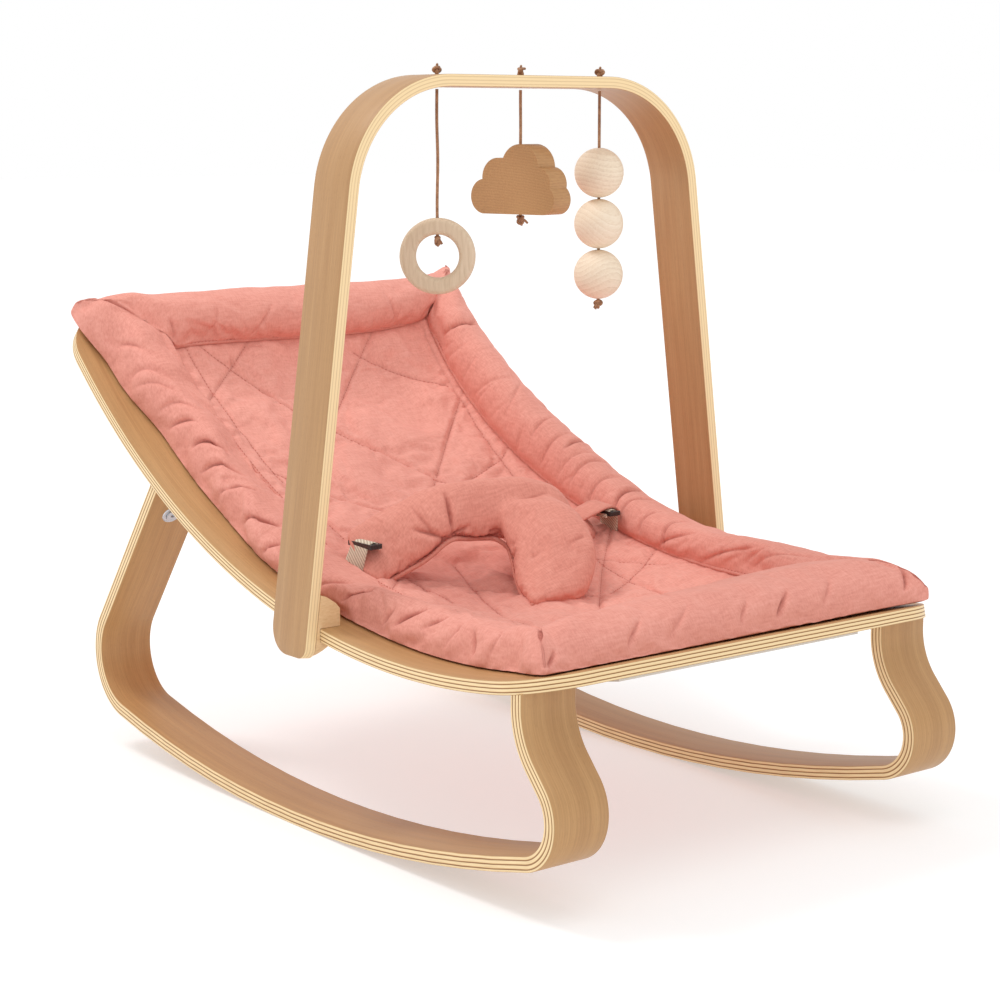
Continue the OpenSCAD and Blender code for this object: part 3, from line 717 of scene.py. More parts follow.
def rim_edge(side, t):
    """((x, angle, height) on the outer edge, the same on the seam, crown height) at t along one side."""
    if side == "far":
        o0, o1, i0, i1 = TIPS["HR"], TIPS["FR"], SEAM_CORNERS["HR"], SEAM_CORNERS["FR"]
        a = lerp(o0[1], o1[1], t)
        o = (bow(t, o0[0], o1[0], 197.0), a, bow(t, o0[2], o1[2], 16.0))
        ai = lerp(i0[1], i1[1], t)
        i = (bow(t, i0[0], i1[0], 138.0, 3.0), ai, bow(t, i0[2], i1[2], 21.0, 2.5))
        crown = lerp(62.0, 49.0, smooth((t - 0.35) / 0.35))
    elif side == "near":
        o0, o1, i0, i1 = TIPS["FL"], TIPS["HL"], SEAM_CORNERS["FL"], SEAM_CORNERS["HL"]
        a = lerp(o0[1], o1[1], t)
        xo = table(t, [(0, o0[0]), (0.08, -181.0), (0.3, -180.0), (0.5, -184.0), (0.65, -179.0),
                       (0.78, -178.0), (0.9, -190.0), (1, o1[0])])
        o = (xo, a, table(t, [(0, o0[2]), (0.5, 8.0), (0.85, 9.0), (1, o1[2])]))
        ai = lerp(i0[1], i1[1], t)
        i = (bow(t, i0[0], i1[0], -138.0, 3.0), ai,
             table(t, [(0, i0[2]), (0.2, 17.0), (0.45, 17.0), (0.62, 24.0), (0.85, 27.0), (1, i1[2])]))
        crown = table(t, [(0, 31.0), (0.15, 31.0), (0.35, 29.0), (0.48, 31.0), (0.63, 36.0),
                          (0.8, 41.0), (0.92, 46.0), (1, 48.0)])
    elif side == "foot":
        o0, o1, i0, i1 = TIPS["FR"], TIPS["FL"], SEAM_CORNERS["FR"], SEAM_CORNERS["FL"]
        x = lerp(o0[0], o1[0], t)
        o = (x, bow(t, o0[1], o1[1], -11.9, 6.0), table(t, [(0, o0[2]), (0.35, 8.0), (0.7, 5.0), (1, o1[2])]))
        ai = lerp(i0[1], i1[1], t)
        i = (lerp(i0[0], i1[0], t), bow(t, i0[1], i1[1], ai, 2.0), bow(t, i0[2], i1[2], 19.0, 2.0))
        crown = lerp(40.0, 31.0, t)
    else:
        o0, o1, i0, i1 = TIPS["HL"], TIPS["HR"], SEAM_CORNERS["HL"], SEAM_CORNERS["HR"]
        x = lerp(o0[0], o1[0], t)
        o = (x, bow(t, o0[1], o1[1], 46.9, 6.0), bow(t, o0[2], o1[2], 20.0))
        i = (lerp(i0[0], i1[0], t), bow(t, i0[1], i1[1], 41.6, 3.0), bow(t, i0[2], i1[2], 27.0, 2.0))
        crown = lerp(51.0, 57.0, t)
    return o, i, crown


CORNER_CROWN = {"HL": 44.0, "HR": 54.0, "FR": 38.0, "FL": 30.0}
SIDE_ENDS = {"far": ("HR", "FR"), "foot": ("FR", "FL"), "near": ("FL", "HL"), "head": ("HL", "HR")}
# sections along each side, about STEP mm apart; points round a section; reach of a corner in mm
SIDE_STEPS = {"far": 128, "foot": 82, "near": 128, "head": 84}
STEP, ROUND = 4.6, 44
CORNER_REACH = 26.0


def rim_section(side, t):
    """Closed section of the roll at t, from the seam over the crown to the outer edge and back underneath."""
    o, i, crown = rim_edge(side, t)
    c0, c1 = SIDE_ENDS[side]
    near_end = max(math.exp(-(f * SIDE_STEPS[side] * STEP / CORNER_REACH) ** 2) for f in (t, 1 - t))
    corner = CORNER_CROWN[c0] if t < 0.5 else CORNER_CROWN[c1]
    crown = lerp(crown, corner, near_end)
    lean = {"near": 0.16, "far": -0.05, "foot": 0.12, "head": 0.0}[side] * (1 - near_end)
    pts = []
    for k in range(ROUND):
        th = 2 * math.pi * k / ROUND
        cs, sn = math.cos(th), math.sin(th)
        c = 0.5 + 0.5 * math.copysign(abs(cs) ** 0.86, cs)
        base = lerp(o[2], i[2], c)
        if sn >= 0:
            power = lerp(0.8, 1.25, near_end * (1 - c))
            # the crown lies towards the outer edge by lean
            h = base + (crown - base) * sn ** power * (1 - lean * (2 * c - 1) * 1.6)
        else:
            h = base - (base - 0.3) * min(1.0, (-sn) ** 0.22)
        pts.append((lerp(o[0], i[0], c), lerp(o[1], i[1], c), h, th))
    return pts


def cloth_puff(obj, pin, pressure, shrink, cap, frames=18, tension=18.0, bending=0.6):
    """Short cloth simulation, gravity off: pinned where sewn, swollen elsewhere by at most cap."""
    rest = np.array([v.co for v in obj.data.vertices], float)
    group = obj.vertex_groups.new(name="pin")
    for k, w in enumerate(pin):
        if w > 0:
            group.add([k], float(w), "REPLACE")
    mod = obj.modifiers.new("cloth", "CLOTH")
    st = mod.settings
    st.quality = 5
    st.mass = 0.25
    st.tension_stiffness = tension
    st.compression_stiffness = tension
    st.shear_stiffness = 6.0
    st.bending_stiffness = bending
    st.use_pressure = True
    st.uniform_pressure_force = pressure
    st.shrink_min = shrink
    st.vertex_group_mass = "pin"
    st.pin_stiffness = 1.0
    st.effector_weights.gravity = 0.0
    mod.collision_settings.use_collision = False
    mod.collision_settings.use_self_collision = False
    mod.point_cache.frame_start = 1
    mod.point_cache.frame_end = frames
    for f in range(1, frames + 1):
        scene.frame_set(f)
    dg = bpy.context.evaluated_depsgraph_get()
    ev = obj.evaluated_get(dg).to_mesh()
    moved = np.array([v.co for v in ev.vertices], float)
    obj.evaluated_get(dg).to_mesh_clear()
    obj.modifiers.remove(mod)
    obj.vertex_groups.clear()
    scene.frame_set(1)
    d = moved - rest
    n = np.linalg.norm(d, axis=1)
    k = np.where(n > 1e-9, cap * np.tanh(n / cap) / np.maximum(n, 1e-9), 0.0)
    out = rest + d * k[:, None]
    obj.data.vertices.foreach_set("co", out.astype(np.float32).ravel())
    obj.data.update()
    return obj


def subdivide(obj, levels=1):
    m = obj.modifiers.new("subdivision", "SUBSURF")
    m.levels = m.render_levels = levels
    return apply_modifiers(obj)


def set_attr(obj, name, values):
    at = obj.data.attributes.get(name) or obj.data.attributes.new(name, "FLOAT", "POINT")
    at.data.foreach_set("value", np.asarray(values, np.float32))


def coords_of(obj):
    co = np.empty(len(obj.data.vertices) * 3, np.float32)
    obj.data.vertices.foreach_get("co", co)
    return co.reshape(-1, 3).astype(float)


def seat_coords(co):
    """Vertices in metres to (x, length round the seat, height) in mm."""
    y, z = co[:, 1] / MM - SEAT_Y, SEAT_Z - co[:, 2] / MM
    return np.stack([co[:, 0] / MM, np.degrees(np.arctan2(y, z)) * DEG_MM, R_TOP - np.hypot(y, z)], 1)


def fold_field(pts, lines, width, bulge=0.35, reach=7.0):
    """How far each point sinks for creases along polylines of points; lines are (depth, points)."""
    sink = np.zeros(len(pts))
    for depth, line in lines:
        line = np.asarray(line, float)
        seg = np.linalg.norm(np.diff(line, axis=0), axis=1)
        total = seg.sum()
        lo, hi = line.min(0) - 22, line.max(0) + 22
        near = np.where(np.all((pts > lo) & (pts < hi), axis=1))[0]
        if not len(near):
            continue
        p = pts[near]
        best = np.full(len(near), 1e9)
        along = np.zeros(len(near))
        run = 0.0
        for a, b, length in zip(line[:-1], line[1:], seg):
            d = b - a
            t = np.clip(((p - a) @ d) / max(1e-9, d @ d), 0, 1)
            dist = np.linalg.norm(p - (a + t[:, None] * d), axis=1)
            hit = dist < best
            best[hit] = dist[hit]
            along[hit] = (run + t[hit] * length) / total
            run += length
        fade = np.sin(np.pi * np.clip(along, 0.0, 1.0)) ** 0.8
        groove = np.exp(-(best / width) ** 2) - bulge * np.exp(-((best - reach) / (reach * 0.6)) ** 2)
        sink[near] += depth * fade * groove
    return sink


def sink_mesh(obj, amount):
    """Moves every vertex inwards along its normal by amount mm."""
    n = np.empty(len(obj.data.vertices) * 3, np.float32)
    obj.data.vertices.foreach_get("normal", n)
    n = n.reshape(-1, 3).astype(float)
    co = coords_of(obj) - n * amount[:, None] * MM
    obj.data.vertices.foreach_set("co", co.astype(np.float32).ravel())
    obj.data.update()


def read_attr(obj, name):
    v = np.empty(len(obj.data.vertices), np.float32)
    obj.data.attributes[name].data.foreach_get("value", v)
    return v.astype(float)


# folds pressed into the rolls: (percent along the side, drift in percent, from and to in degrees round
# the section, depth in mm); 0 degrees is the seam, 90 the crown and 180 the outer edge
FOLDS = {
    "near": [(78, -1.5, 172, 138, 3.0), (73, -1.5, 155, 98, 5.0), (69, -2.4, 170, 100, 3.5),
             (64, -2.2, 168, 98, 2.4), (58, -3.5, 165, 115, 4.0), (52, -1.5, 176, 150, 3.0),
             (87, -1.4, 168, 115, 1.6), (85, -2.5, 172, 115, 1.4), (80.5, -1, 170, 100, 1.6),
             (91.5, -1.5, 160, 135, 1.4), (36.5, -3, 160, 118, 3.2), (27, -4, 160, 112, 4.0),
             (30, -1.5, 172, 148, 2.0), (14, 0, 172, 145, 2.5), (22, -3.5, 150, 108, 2.2),
             (40.5, -2.8, 158, 122, 2.4), (56, -1.8, 145, 112, 1.8), (18, -2.5, 165, 116, 1.6),
             (10.5, -2, 165, 120, 1.4), (47, -3, 168, 110, 1.8)],
    "far": [(7.5, 4, 25, 95, 3.2), (11, 0.5, 85, 100, 1.8), (44.5, -2, 60, 105, 3.5),
            (37.5, -1.3, 40, 80, 1.8), (42.6, -1.3, 15, 80, 1.8), (61.7, -5, 8, 105, 3.5),
            (63.4, -2.4, 22, 85, 2.5), (74.5, -3, 10, 70, 2.5), (50.5, -1.5, 22, 92, 1.8),
            (56, -2, 12, 82, 1.8), (47.5, -0.7, 24, 80, 1.5), (68.7, -2.2, 12, 68, 1.8),
            (84.5, 5, 14, 38, 1.8), (94, 2, 20, 66, 1.5), (74, 4, 10, 30, 2.0),
            (22, 3, 20, 75, 1.2), (30, -3, 30, 90, 1.2)],
    "foot": [(40, -4.3, 177, 152, 3.2), (50, -3.3, 177, 152, 1.8), (78.5, -3.6, 172, 145, 2.0),
             (5.2, -3.6, 172, 140, 3.0), (98.5, -1.7, 178, 160, 3.0), (68, -5.5, 172, 140, 1.3),
             (27, -5, 172, 142, 1.5), (60, 3, 60, 100, 1.0)],
    "head": [(2, 3, 35, 55, 2.0), (13.6, 6, 20, 60, 1.3), (29, 8, 20, 60, 1.3),
             (60, -5, 20, 60, 1.0), (83, -5, 20, 70, 1.3)],
}


def fold_line(side, percent, drift, start, end):
    """Points of one fold on the rolled surface, in mm."""
    line = []
    for q in range(7):
        f = q / 6
        t = min(0.998, max(0.002, (percent + drift * f) / 100))
        ring = rim_section(side, t)
        k = lerp(start, end, f) / 360 * ROUND
        k0 = int(k)
        p = [lerp(u, v, k - k0) for u, v in zip(ring[k0][:3], ring[(k0 + 1) % ROUND][:3])]
        line.append((p[0], p[1] * DEG_MM, p[2]))
    return line


def build_rim():
    verts, faces, pin, mitre, turn = [], [], [], [], []
    rings = []
    for side in ("far", "foot", "near", "head"):
        n = SIDE_STEPS[side]
        for i in range(n):
            t = i / n
            rings.append((side, t, rim_section(side, t)))
    for side, t, ring in rings:
        end = min(t, 1 - t) * SIDE_STEPS[side] * STEP
        for x, a, h, th in ring:
            verts.append(seat_point(x, a, h))
            deg = math.degrees(th)
            w = 0.0
            if deg > 196 or deg < 4:
                w = 1.0
            if end < 3.0 and w < 1.0:
                w = 0.75
            pin.append(w)
            top = 1.0 if 4 < deg < 176 else 0.0
            mitre.append(top * math.exp(-(end / 2.4) ** 2))
            turn.append(top)
    n = len(rings)
    for i in range(n):
        for k in range(ROUND):
            a, b = i * ROUND + k, i * ROUND + (k + 1) % ROUND
            c, d = ((i + 1) % n) * ROUND + (k + 1) % ROUND, ((i + 1) % n) * ROUND + k
            faces.append((a, b, c, d))
    obj = new_object("cushion_rim", verts, faces, M_PINK)
    cloth_puff(obj, pin, 2.4, -0.06, 5.0 * MM, 16)
    set_attr(obj, "mitre", mitre)
    set_attr(obj, "top", turn)
    subdivide(obj, 2)
    co = coords_of(obj)
    at = seat_coords(co)
    top = read_attr(obj, "top")
    rnd = random.Random(11)
    lines = []
    for side, rows in FOLDS.items():
        for percent, drift, start, end, depth in rows:
            # the drawn fold runs a little further at both ends, fading out
            more = math.copysign(14, start - end)
            begin = min(180, max(0, start + more))
            lines.append((depth, fold_line(side, percent - drift * 0.3, drift * 1.6, begin, end - more)))
    # little gathers all along the seam, and soft ones on the outer edge
    for side in ("far", "foot", "near", "head"):
        pos = 5.0
        while pos < 95:
            depth = rnd.uniform(0.3, 0.9)
            lines.append((depth, fold_line(side, pos, rnd.uniform(-3, 3), 4, rnd.uniform(30, 70))))
            if side in ("near", "far") and rnd.random() < 0.5:
                depth = rnd.uniform(0.3, 0.8)
                drift = rnd.uniform(-4, 4)
                lines.append((depth, fold_line(side, pos + 1, drift, 180, rnd.uniform(80, 140))))
            pos += rnd.uniform(2.0, 5.5)
    # creases lie on the swollen surface, not on the drawn one
    tree = BVHTree.FromPolygons([Vector(p) for p in at], [tuple(f.vertices) for f in obj.data.polygons])
    lines = [(depth, [tuple(tree.find_nearest(Vector(p))[0]) for p in line]) for depth, line in lines]
    sink = 0.85 * fold_field(at, lines, 1.3, 0.3, 5.0) + 0.45 * fold_field(at, lines, 5.0, 0.3, 13.0)
    broad = [Vector((p[0] / 60 + p[1] / 26, p[1] / 26 - p[0] / 60, p[2] / 45)) for p in at]
    small = [Vector((p[0] / 22, p[1] / 13, p[2] / 30 + 9)) for p in at]
    swell = np.array([noise.noise(p) + 0.5 * noise.noise(q) for p, q in zip(broad, small)])
    clear = np.clip((at[:, 2] - 2.5) / 7.0, 0, 1)
    m = read_attr(obj, "mitre")
    sink_mesh(obj, (sink - swell * 1.25 + 2.4 * m) * clear * top)
    # painted shade: the rim is darker in the mitred corners and along the folds
    painted_shade = 0.75 * m * top + np.clip((sink - 0.7) / 4.5, 0, 0.6) * top
    set_attr(obj, "painted_shade", painted_shade)
    return obj


def panel_point(u, v):
    """(x, angle, height) on the quilted panel: u from the near side to the far side, v from head to foot."""
    near = rim_edge("near", 1 - v)[1]
    far = rim_edge("far", v)[1]
    head = rim_edge("head", u)[1]
    foot = rim_edge("foot", 1 - u)[1]
    c = [SEAM_CORNERS[k] for k in ("HL", "HR", "FL", "FR")]
    out = []
    for k in range(3):
        edge = (1 - u) * near[k] + u * far[k] + (1 - v) * head[k] + v * foot[k]
        corner = ((1 - u) * (1 - v) * c[0][k] + u * (1 - v) * c[1][k]
                  + (1 - u) * v * c[2][k] + u * v * c[3][k])
        out.append(edge - corner)
    across, along = abs(2 * u - 1), abs(2 * v - 1)
    hollow = (1 - across ** 3.0) * (1 - along ** 8.0)
    out[2] = lerp(out[2], 7.0, hollow)
    return out


# quilting lines: (x, angle) along each
QUILTING = [
    [(-50, 42.1), (-115, 37.1), (-137, 35.2)],
    [(-126, 42.6), (-84, 39.3), (-42, 35.3), (-9, 32.2), (26, 28.4), (57, 24.3), (96, 20.5), (138, 16.6)],
    [(53, 40.2), (98, 37.4), (143, 34.7)],
    [(98, 43.2), (17, 35.9), (-48, 30.2), (-96, 25.6), (-138, 21.8)],
    [(143, 34.7), (84, 29.2), (26, 23.8), (-36, 18.4), (-79, 14.6), (-138, 9.6)],
    [(140, 42.0), (132, 33.0), (122, 26.2), (112, 21.0), (98, 15.2), (78, 5.6), (66, -1.5)],
    [(-126, 42.0), (-119, 36.9), (-115, 32.6), (-114, 27.9), (-108, 20.0), (-98, 12.0), (-86, 3.0),
     (-78, -3.5)],
    [(140, 27.4), (122, 26.2), (57, 24.3)],
    [(-115, 27.9), (-66, 24.2), (-10, 20.6), (38, 15.2), (92, 10.8), (138, 5.0)],
    [(138, 14.1), (78, 9.0), (10, 2.7), (-40, -3.0)],
    [(-138, 15.0), (-79, 11.6), (-20, 6.4), (40, 4.6), (102, 7.3), (138, 9.0)],
    [(-36, 13.7), (-79, 4.1), (-112, -3.4)],
]


def build_panel():
    nu, nv = 76, 152
    lines = []
    for row in QUILTING:
        pts = []
        for (x0, a0), (x1, a1) in zip(row, row[1:]):
            for k in range(6):
                pts.append((lerp(x0, x1, k / 6), lerp(a0, a1, k / 6) * DEG_MM))
        pts.append((row[-1][0], row[-1][1] * DEG_MM))
        lines.append(np.array(pts))
    grid, border = [], []
    for j in range(nv + 1):
        for i in range(nu + 1):
            u, v = i / nu, j / nv
            grid.append(panel_point(u, v))
            border.append(min(min(u, 1 - u) * 278, min(v, 1 - v) * 560))
    grid, border = np.array(grid), np.array(border)
    flat = np.stack([grid[:, 0], grid[:, 1] * DEG_MM], 1)

    def quilt_distance(p):
        best = np.full(len(p), 1e9)
        for line in lines:
            for a, b in zip(line[:-1], line[1:]):
                d = b - a
                t = np.clip(((p - a) @ d) / (d @ d), 0, 1)
                best = np.minimum(best, np.linalg.norm(p - (a + t[:, None] * d), axis=1))
        return best

    q = quilt_distance(flat)
    d = np.minimum(q, border)
    puff = 5.0 * (1 - np.exp(-(d / 13.0) ** 1.3))
    verts = [seat_point(x, a, h + f) for (x, a, h), f in zip(grid, puff)]
    pin = np.where(border < 1, 1.0, np.where(q < 2.2, 0.9, 0.0))
    faces = []
    for j in range(nv):
        for i in range(nu):
            k = j * (nu + 1) + i
            faces.append((k, k + 1, k + nu + 2, k + nu + 1))
    obj = new_object("cushion_quilt", verts, faces, M_QUILT_PAINTED_LIGHT)
    if obj.data.polygons[len(faces) // 2].normal.z < 0:
        obj.data.flip_normals()
    cloth_puff(obj, list(pin), 1.3, -0.06, 5.0 * MM, 14, 12.0, 0.3)
    set_attr(obj, "border", border)
    subdivide(obj)
    co = coords_of(obj)
    at = seat_coords(co)
    q = quilt_distance(at[:, :2])
    rim_d = read_attr(obj, "border")
    rnd = random.Random(5)
    flat_at = at.copy()
    flat_at[:, 2] = 0
    puckers = []
    for line in lines:
        run = 0.0
        for a, b in zip(line[:-1], line[1:]):
            run += np.linalg.norm(b - a)
            if run > rnd.uniform(9, 26):
                run = 0.0
                along = (b - a) / np.linalg.norm(b - a)
                w = rnd.uniform(0.5, 1.1) * rnd.choice((-1, 1))
                side = np.array([along[0] * math.cos(w) - along[1] * math.sin(w),
                                 along[0] * math.sin(w) + along[1] * math.cos(w)])
                reach = rnd.uniform(10, 30) * rnd.choice((-1, 1))
                mid = a + side * reach * 0.5 + along * rnd.uniform(-2, 2)
                puckers.append((rnd.uniform(0.5, 1.5), [(*a, 0), (*mid, 0), (*(a + side * reach), 0)]))
    for k in range(70):
        x, s = rnd.uniform(-125, 130), rnd.uniform(-30, 500)
        w, r = rnd.uniform(-0.6, 0.6) + rnd.choice((0, 0, 1.4)), rnd.uniform(8, 26)
        dx, ds = r * math.cos(w), r * math.sin(w)
        depth = rnd.uniform(0.3, 0.9)
        mid = (x + rnd.uniform(-2, 2), s + rnd.uniform(-2, 2), 0)
        puckers.append((depth, [(x - dx, s - ds, 0), mid, (x + dx, s + ds, 0)]))
    # gathers in from the border seam
    for edge_x in (-138, 139):
        s = -30.0
        while s < 500:
            sign = 1 if edge_x < 0 else -1
            depth = rnd.uniform(0.6, 1.6)
            tip = (edge_x + sign * rnd.uniform(8, 20), s + rnd.uniform(-5, 5), 0)
            puckers.append((depth, [(edge_x + sign * 1.5, s, 0), tip]))
            s += rnd.uniform(10, 26)
    sink = fold_field(flat_at, puckers, 1.9, 0.3, 6.0)
    groove = 1.3 * np.exp(-(q / 1.3) ** 2)
    swell = np.array([noise.noise(Vector((p[0] / 26, p[1] / 20, 3.1))) for p in at])
    keep = np.clip(rim_d / 6.0, 0, 1)
    sink_mesh(obj, (sink + groove - swell * 0.8) * keep)
    # painted shade: a darker area under the harness stands in for the soft shade there, and the quilting
    # lines, puckers and border seam are darkened too
    under = np.exp(-((at[:, 0] + 68) / 48) ** 4 - ((at[:, 1] / DEG_MM - 9) / 5.5) ** 4)
    painted_shade = 0.4 * under + 0.3 * np.exp(-q ** 2) + np.clip((sink - 0.5) / 5.0, 0, 0.3)
    set_attr(obj, "painted_shade", np.clip(painted_shade + 0.5 * np.exp(-(rim_d / 2.5) ** 2), 0, 1))
    return obj, lines


def stitches(name, lines, material, lift=0.5, length=2.6, gap=1.3, radius=0.32):
    """Short thread stitches laid along polylines of (point, up) in metres."""
    verts, faces = [], []
    for line in lines:
        pts = [p for p, n in line]
        s = [0.0]
        for p, q in zip(pts, pts[1:]):
            s.append(s[-1] + (q - p).length)
        pos, k = 1.0 * MM, 0
        while pos + length * MM < s[-1]:
            ends = []
            for target in (pos, pos + length * MM):
                while k < len(s) - 2 and s[k + 1] < target:
                    k += 1
                t = (target - s[k]) / max(1e-9, s[k + 1] - s[k])
                ends.append((pts[k].lerp(pts[k + 1], t), line[k][1].lerp(line[k + 1][1], t).normalized()))
            (p0, n0), (p1, n1) = ends
            d = (p1 - p0).normalized()
            side = d.cross(n0).normalized()
            base = len(verts)
            for t, r, up in ((0.0, 0.35, -0.25), (0.25, 0.9, 0.15), (0.75, 0.9, 0.15), (1.0, 0.35, -0.25)):
                c = p0.lerp(p1, t) + n0 * (lift + up) * MM
                for q in range(5):
                    w = 2 * math.pi * q / 5
                    verts.append(c + (side * math.cos(w) + n0 * math.sin(w)) * radius * r * MM)
            for ring in range(3):
                for q in range(5):
                    a, b = base + ring * 5 + q, base + ring * 5 + (q + 1) % 5
                    faces.append((a, b, b + 5, a + 5))
            faces.append(tuple(base + q for q in reversed(range(5))))
            faces.append(tuple(base + 15 + q for q in range(5)))
            pos += (length + gap) * MM
    return new_object(name, verts, faces, material)


def seat_up(a):
    t = math.radians(a)
    return Vector((0, -math.sin(t), math.cos(t)))


def tube_along(name, points, radius, material, closed=False, sides=8):
    """Mesh tube through points in metres; radius in metres, or a function of 0 to 1 along it."""
    verts, faces, uvs = [], [], []
    n = len(points)
    ref = None
    s = 0.0
    for i, p in enumerate(points):
        a = points[(i - 1) % n] if (closed or i > 0) else points[0]
        b = points[(i + 1) % n] if (closed or i < n - 1) else points[-1]
        d = (b - a).normalized()
        if ref is None:
            ref = d.orthogonal().normalized()
        ref = (ref - d * ref.dot(d)).normalized()
        other = d.cross(ref)
        r = radius(i / max(1, n - 1)) if callable(radius) else radius
        for k in range(sides):
            w = 2 * math.pi * k / sides
            verts.append(p + (ref * math.cos(w) + other * math.sin(w)) * r)
            uvs.append((k / sides * r * 6.28, s))
        if i < n - 1:
            s += (points[i + 1] - p).length
    last = n if closed else n - 1
    for i in range(last):
        for k in range(sides):
            a, b = i * sides + k, i * sides + (k + 1) % sides
            c, d = ((i + 1) % n) * sides + (k + 1) % sides, ((i + 1) % n) * sides + k
            faces.append((a, b, c, d))
    if not closed:
        faces.append(tuple(reversed(range(sides))))
        faces.append(tuple(range((n - 1) * sides, n * sides)))
    return new_object(name, verts, faces, material, uvs)


rim = build_rim()
quilt, quilt_lines = build_panel()
bpy.context.view_layer.update()
quilt_tree = BVHTree.FromObject(quilt, bpy.context.evaluated_depsgraph_get())

# corded seam between the rim and the panel, with its rows of stitches, and the stitches of the quilting
seam_path, seam_ups = [], []
for side in ("far", "foot", "near", "head"):
    for k in range(SIDE_STEPS[side]):
        x, a, h = rim_edge(side, k / SIDE_STEPS[side])[1]
        seam_path.append(seat_point(x, a, h + 1.0))
        seam_ups.append(seat_up(a))
piping = tube_along("cushion_piping", seam_path, 1.7 * MM, M_PINK, True)
# painted shade: the piping is darkened evenly for the shaded seam line
set_attr(piping, "painted_shade", [0.22] * len(piping.data.vertices))
loop = list(zip(seam_path, seam_ups))
loop.append(loop[0])
rows = [loop]
seam_stitches = stitches("cushion_seam_stitches", rows, M_SEAM, 1.75, 2.0, 1.8, 0.36)

quilt_rows = []
for line in quilt_lines:
    row = []
    for (x0, s0), (x1, s1) in zip(line[:-1], line[1:]):
        count = max(2, int(math.hypot(x1 - x0, s1 - s0) / 2.5))
        for k in range(count):
            x, s = lerp(x0, x1, k / count), lerp(s0, s1, k / count)
            if abs(x) > 133 or not -22 < s < 500:
                continue
            up = seat_up(s / DEG_MM)
            start = seat_point(x, s / DEG_MM, 45)
            hit, normal, idx, dist = quilt_tree.ray_cast(start, -up)
            if hit is not None:
                row.append((hit, up))
    if len(row) > 3:
        quilt_rows.append(row)
quilt_stitches = stitches("cushion_quilt_stitches", quilt_rows, M_SEAM, 0.2, 2.2, 1.6, 0.26)

thick = quilt.modifiers.new("thickness", "SOLIDIFY")
thick.thickness = 5.0 * MM
thick.offset = -1.0
apply_modifiers(quilt)

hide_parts("cushion_head", "cushion_foot", "cushion_left", "cushion_right")
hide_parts("cushion_panel")
for piece, slot_name in ((rim, "pink_cloth"), (quilt, "pink_quilt"), (piping, "pink_cloth"),
                         (seam_stitches, "pink_cloth"), (quilt_stitches, "pink_quilt")):
    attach(piece, "seat")

# ---------------------------------------------------------------- harness
# stations: middle, half of the width towards the upper edge, half thickness, in mm
BAND = [((-134, -11, 203), (0, 20, 20), 5), ((-112, -15, 212), (0, 21, 20), 8),
        ((-92, -23, 222), (0, 20, 20), 11), ((-68, -33, 236), (0, 15, 18), 12),
        ((-40, -35, 236), (0, 9, 22), 13), ((-10, -38, 235), (0, 10, 23), 14),
        ((20, -42, 233), (0, 10, 23), 14), ((45, -44, 224), (2, 15, 20), 13),
        ((70, -29, 211), (0, 15, 15), 10), ((95, -13, 205), (0, 15, 12), 8), ((119, 2, 201), (0, 13, 9), 6)]
CROTCH = [((6, -42, 234), (30, 0, 0), 12), ((9, -64, 226), (33, -9, 0), 15),
          ((5, -88, 208), (31, -14, 0), 15), ((-8, -108, 189), (30, -12, 0), 13),
          ((-24, -131, 175), (27, -1, 0), 7)]
# the piped edge of the leg opening
OPENING = [(-131, -30, 184), (-120, -31, 187), (-108, -37, 194), (-90, -44, 204), (-70, -49, 219),
           (-54, -46, 217), (-38, -44, 213), (-26, -50, 207), (-24, -66, 200), (-26, -80, 192),
           (-32, -96, 183), (-42, -114, 176), (-52, -132, 171)]


def spline(rows, count):
    """Catmull-Rom through rows of numbers."""
    rows = [np.array(r, float) for r in rows]
    out = []
    for i in range(len(rows) - 1):
        p0, p1, p2, p3 = rows[max(0, i - 1)], rows[i], rows[i + 1], rows[min(len(rows) - 1, i + 2)]
        for k in range(count):
            t = k / count
            square = (2 * p0 - 5 * p1 + 4 * p2 - p3) * t * t
            cube = (3 * p1 - p0 - 3 * p2 + p3) * t ** 3
            out.append(0.5 * (2 * p1 + (p2 - p0) * t + square + cube))
    out.append(rows[-1])
    return out


def pad_limb(stations, verts, faces, around=28):
    rows = spline([(*c, *w, t) for c, w, t in stations], 6)
    base = len(verts)
    n = len(rows)
    for i, row in enumerate(rows):
        c, w, th = row[:3], row[3:6], row[6]
        tangent = rows[min(n - 1, i + 1)][:3] - rows[max(0, i - 1)][:3]
        side = np.cross(tangent, w)
        side /= np.linalg.norm(side)
        end = min(i, n - 1 - i)
        size = (0.8, 0.95)[end] if end < 2 else 1.0
        for k in range(around):
            a = 2 * math.pi * k / around
            cs, sn = math.cos(a), math.sin(a)
            p = c + w * size * math.copysign(abs(cs) ** 0.75, cs)
            p = p + side * th * size * math.copysign(abs(sn) ** 0.85, sn)
            verts.append(Vector(p) * MM)
    for i in range(n - 1):
        for k in range(around):
            j = (k + 1) % around
            a, b = base + i * around, base + (i + 1) * around
            faces.append((a + k, a + j, b + j, b + k))
    faces.append(tuple(base + k for k in reversed(range(around))))
    faces.append(tuple(base + (n - 1) * around + k for k in range(around)))


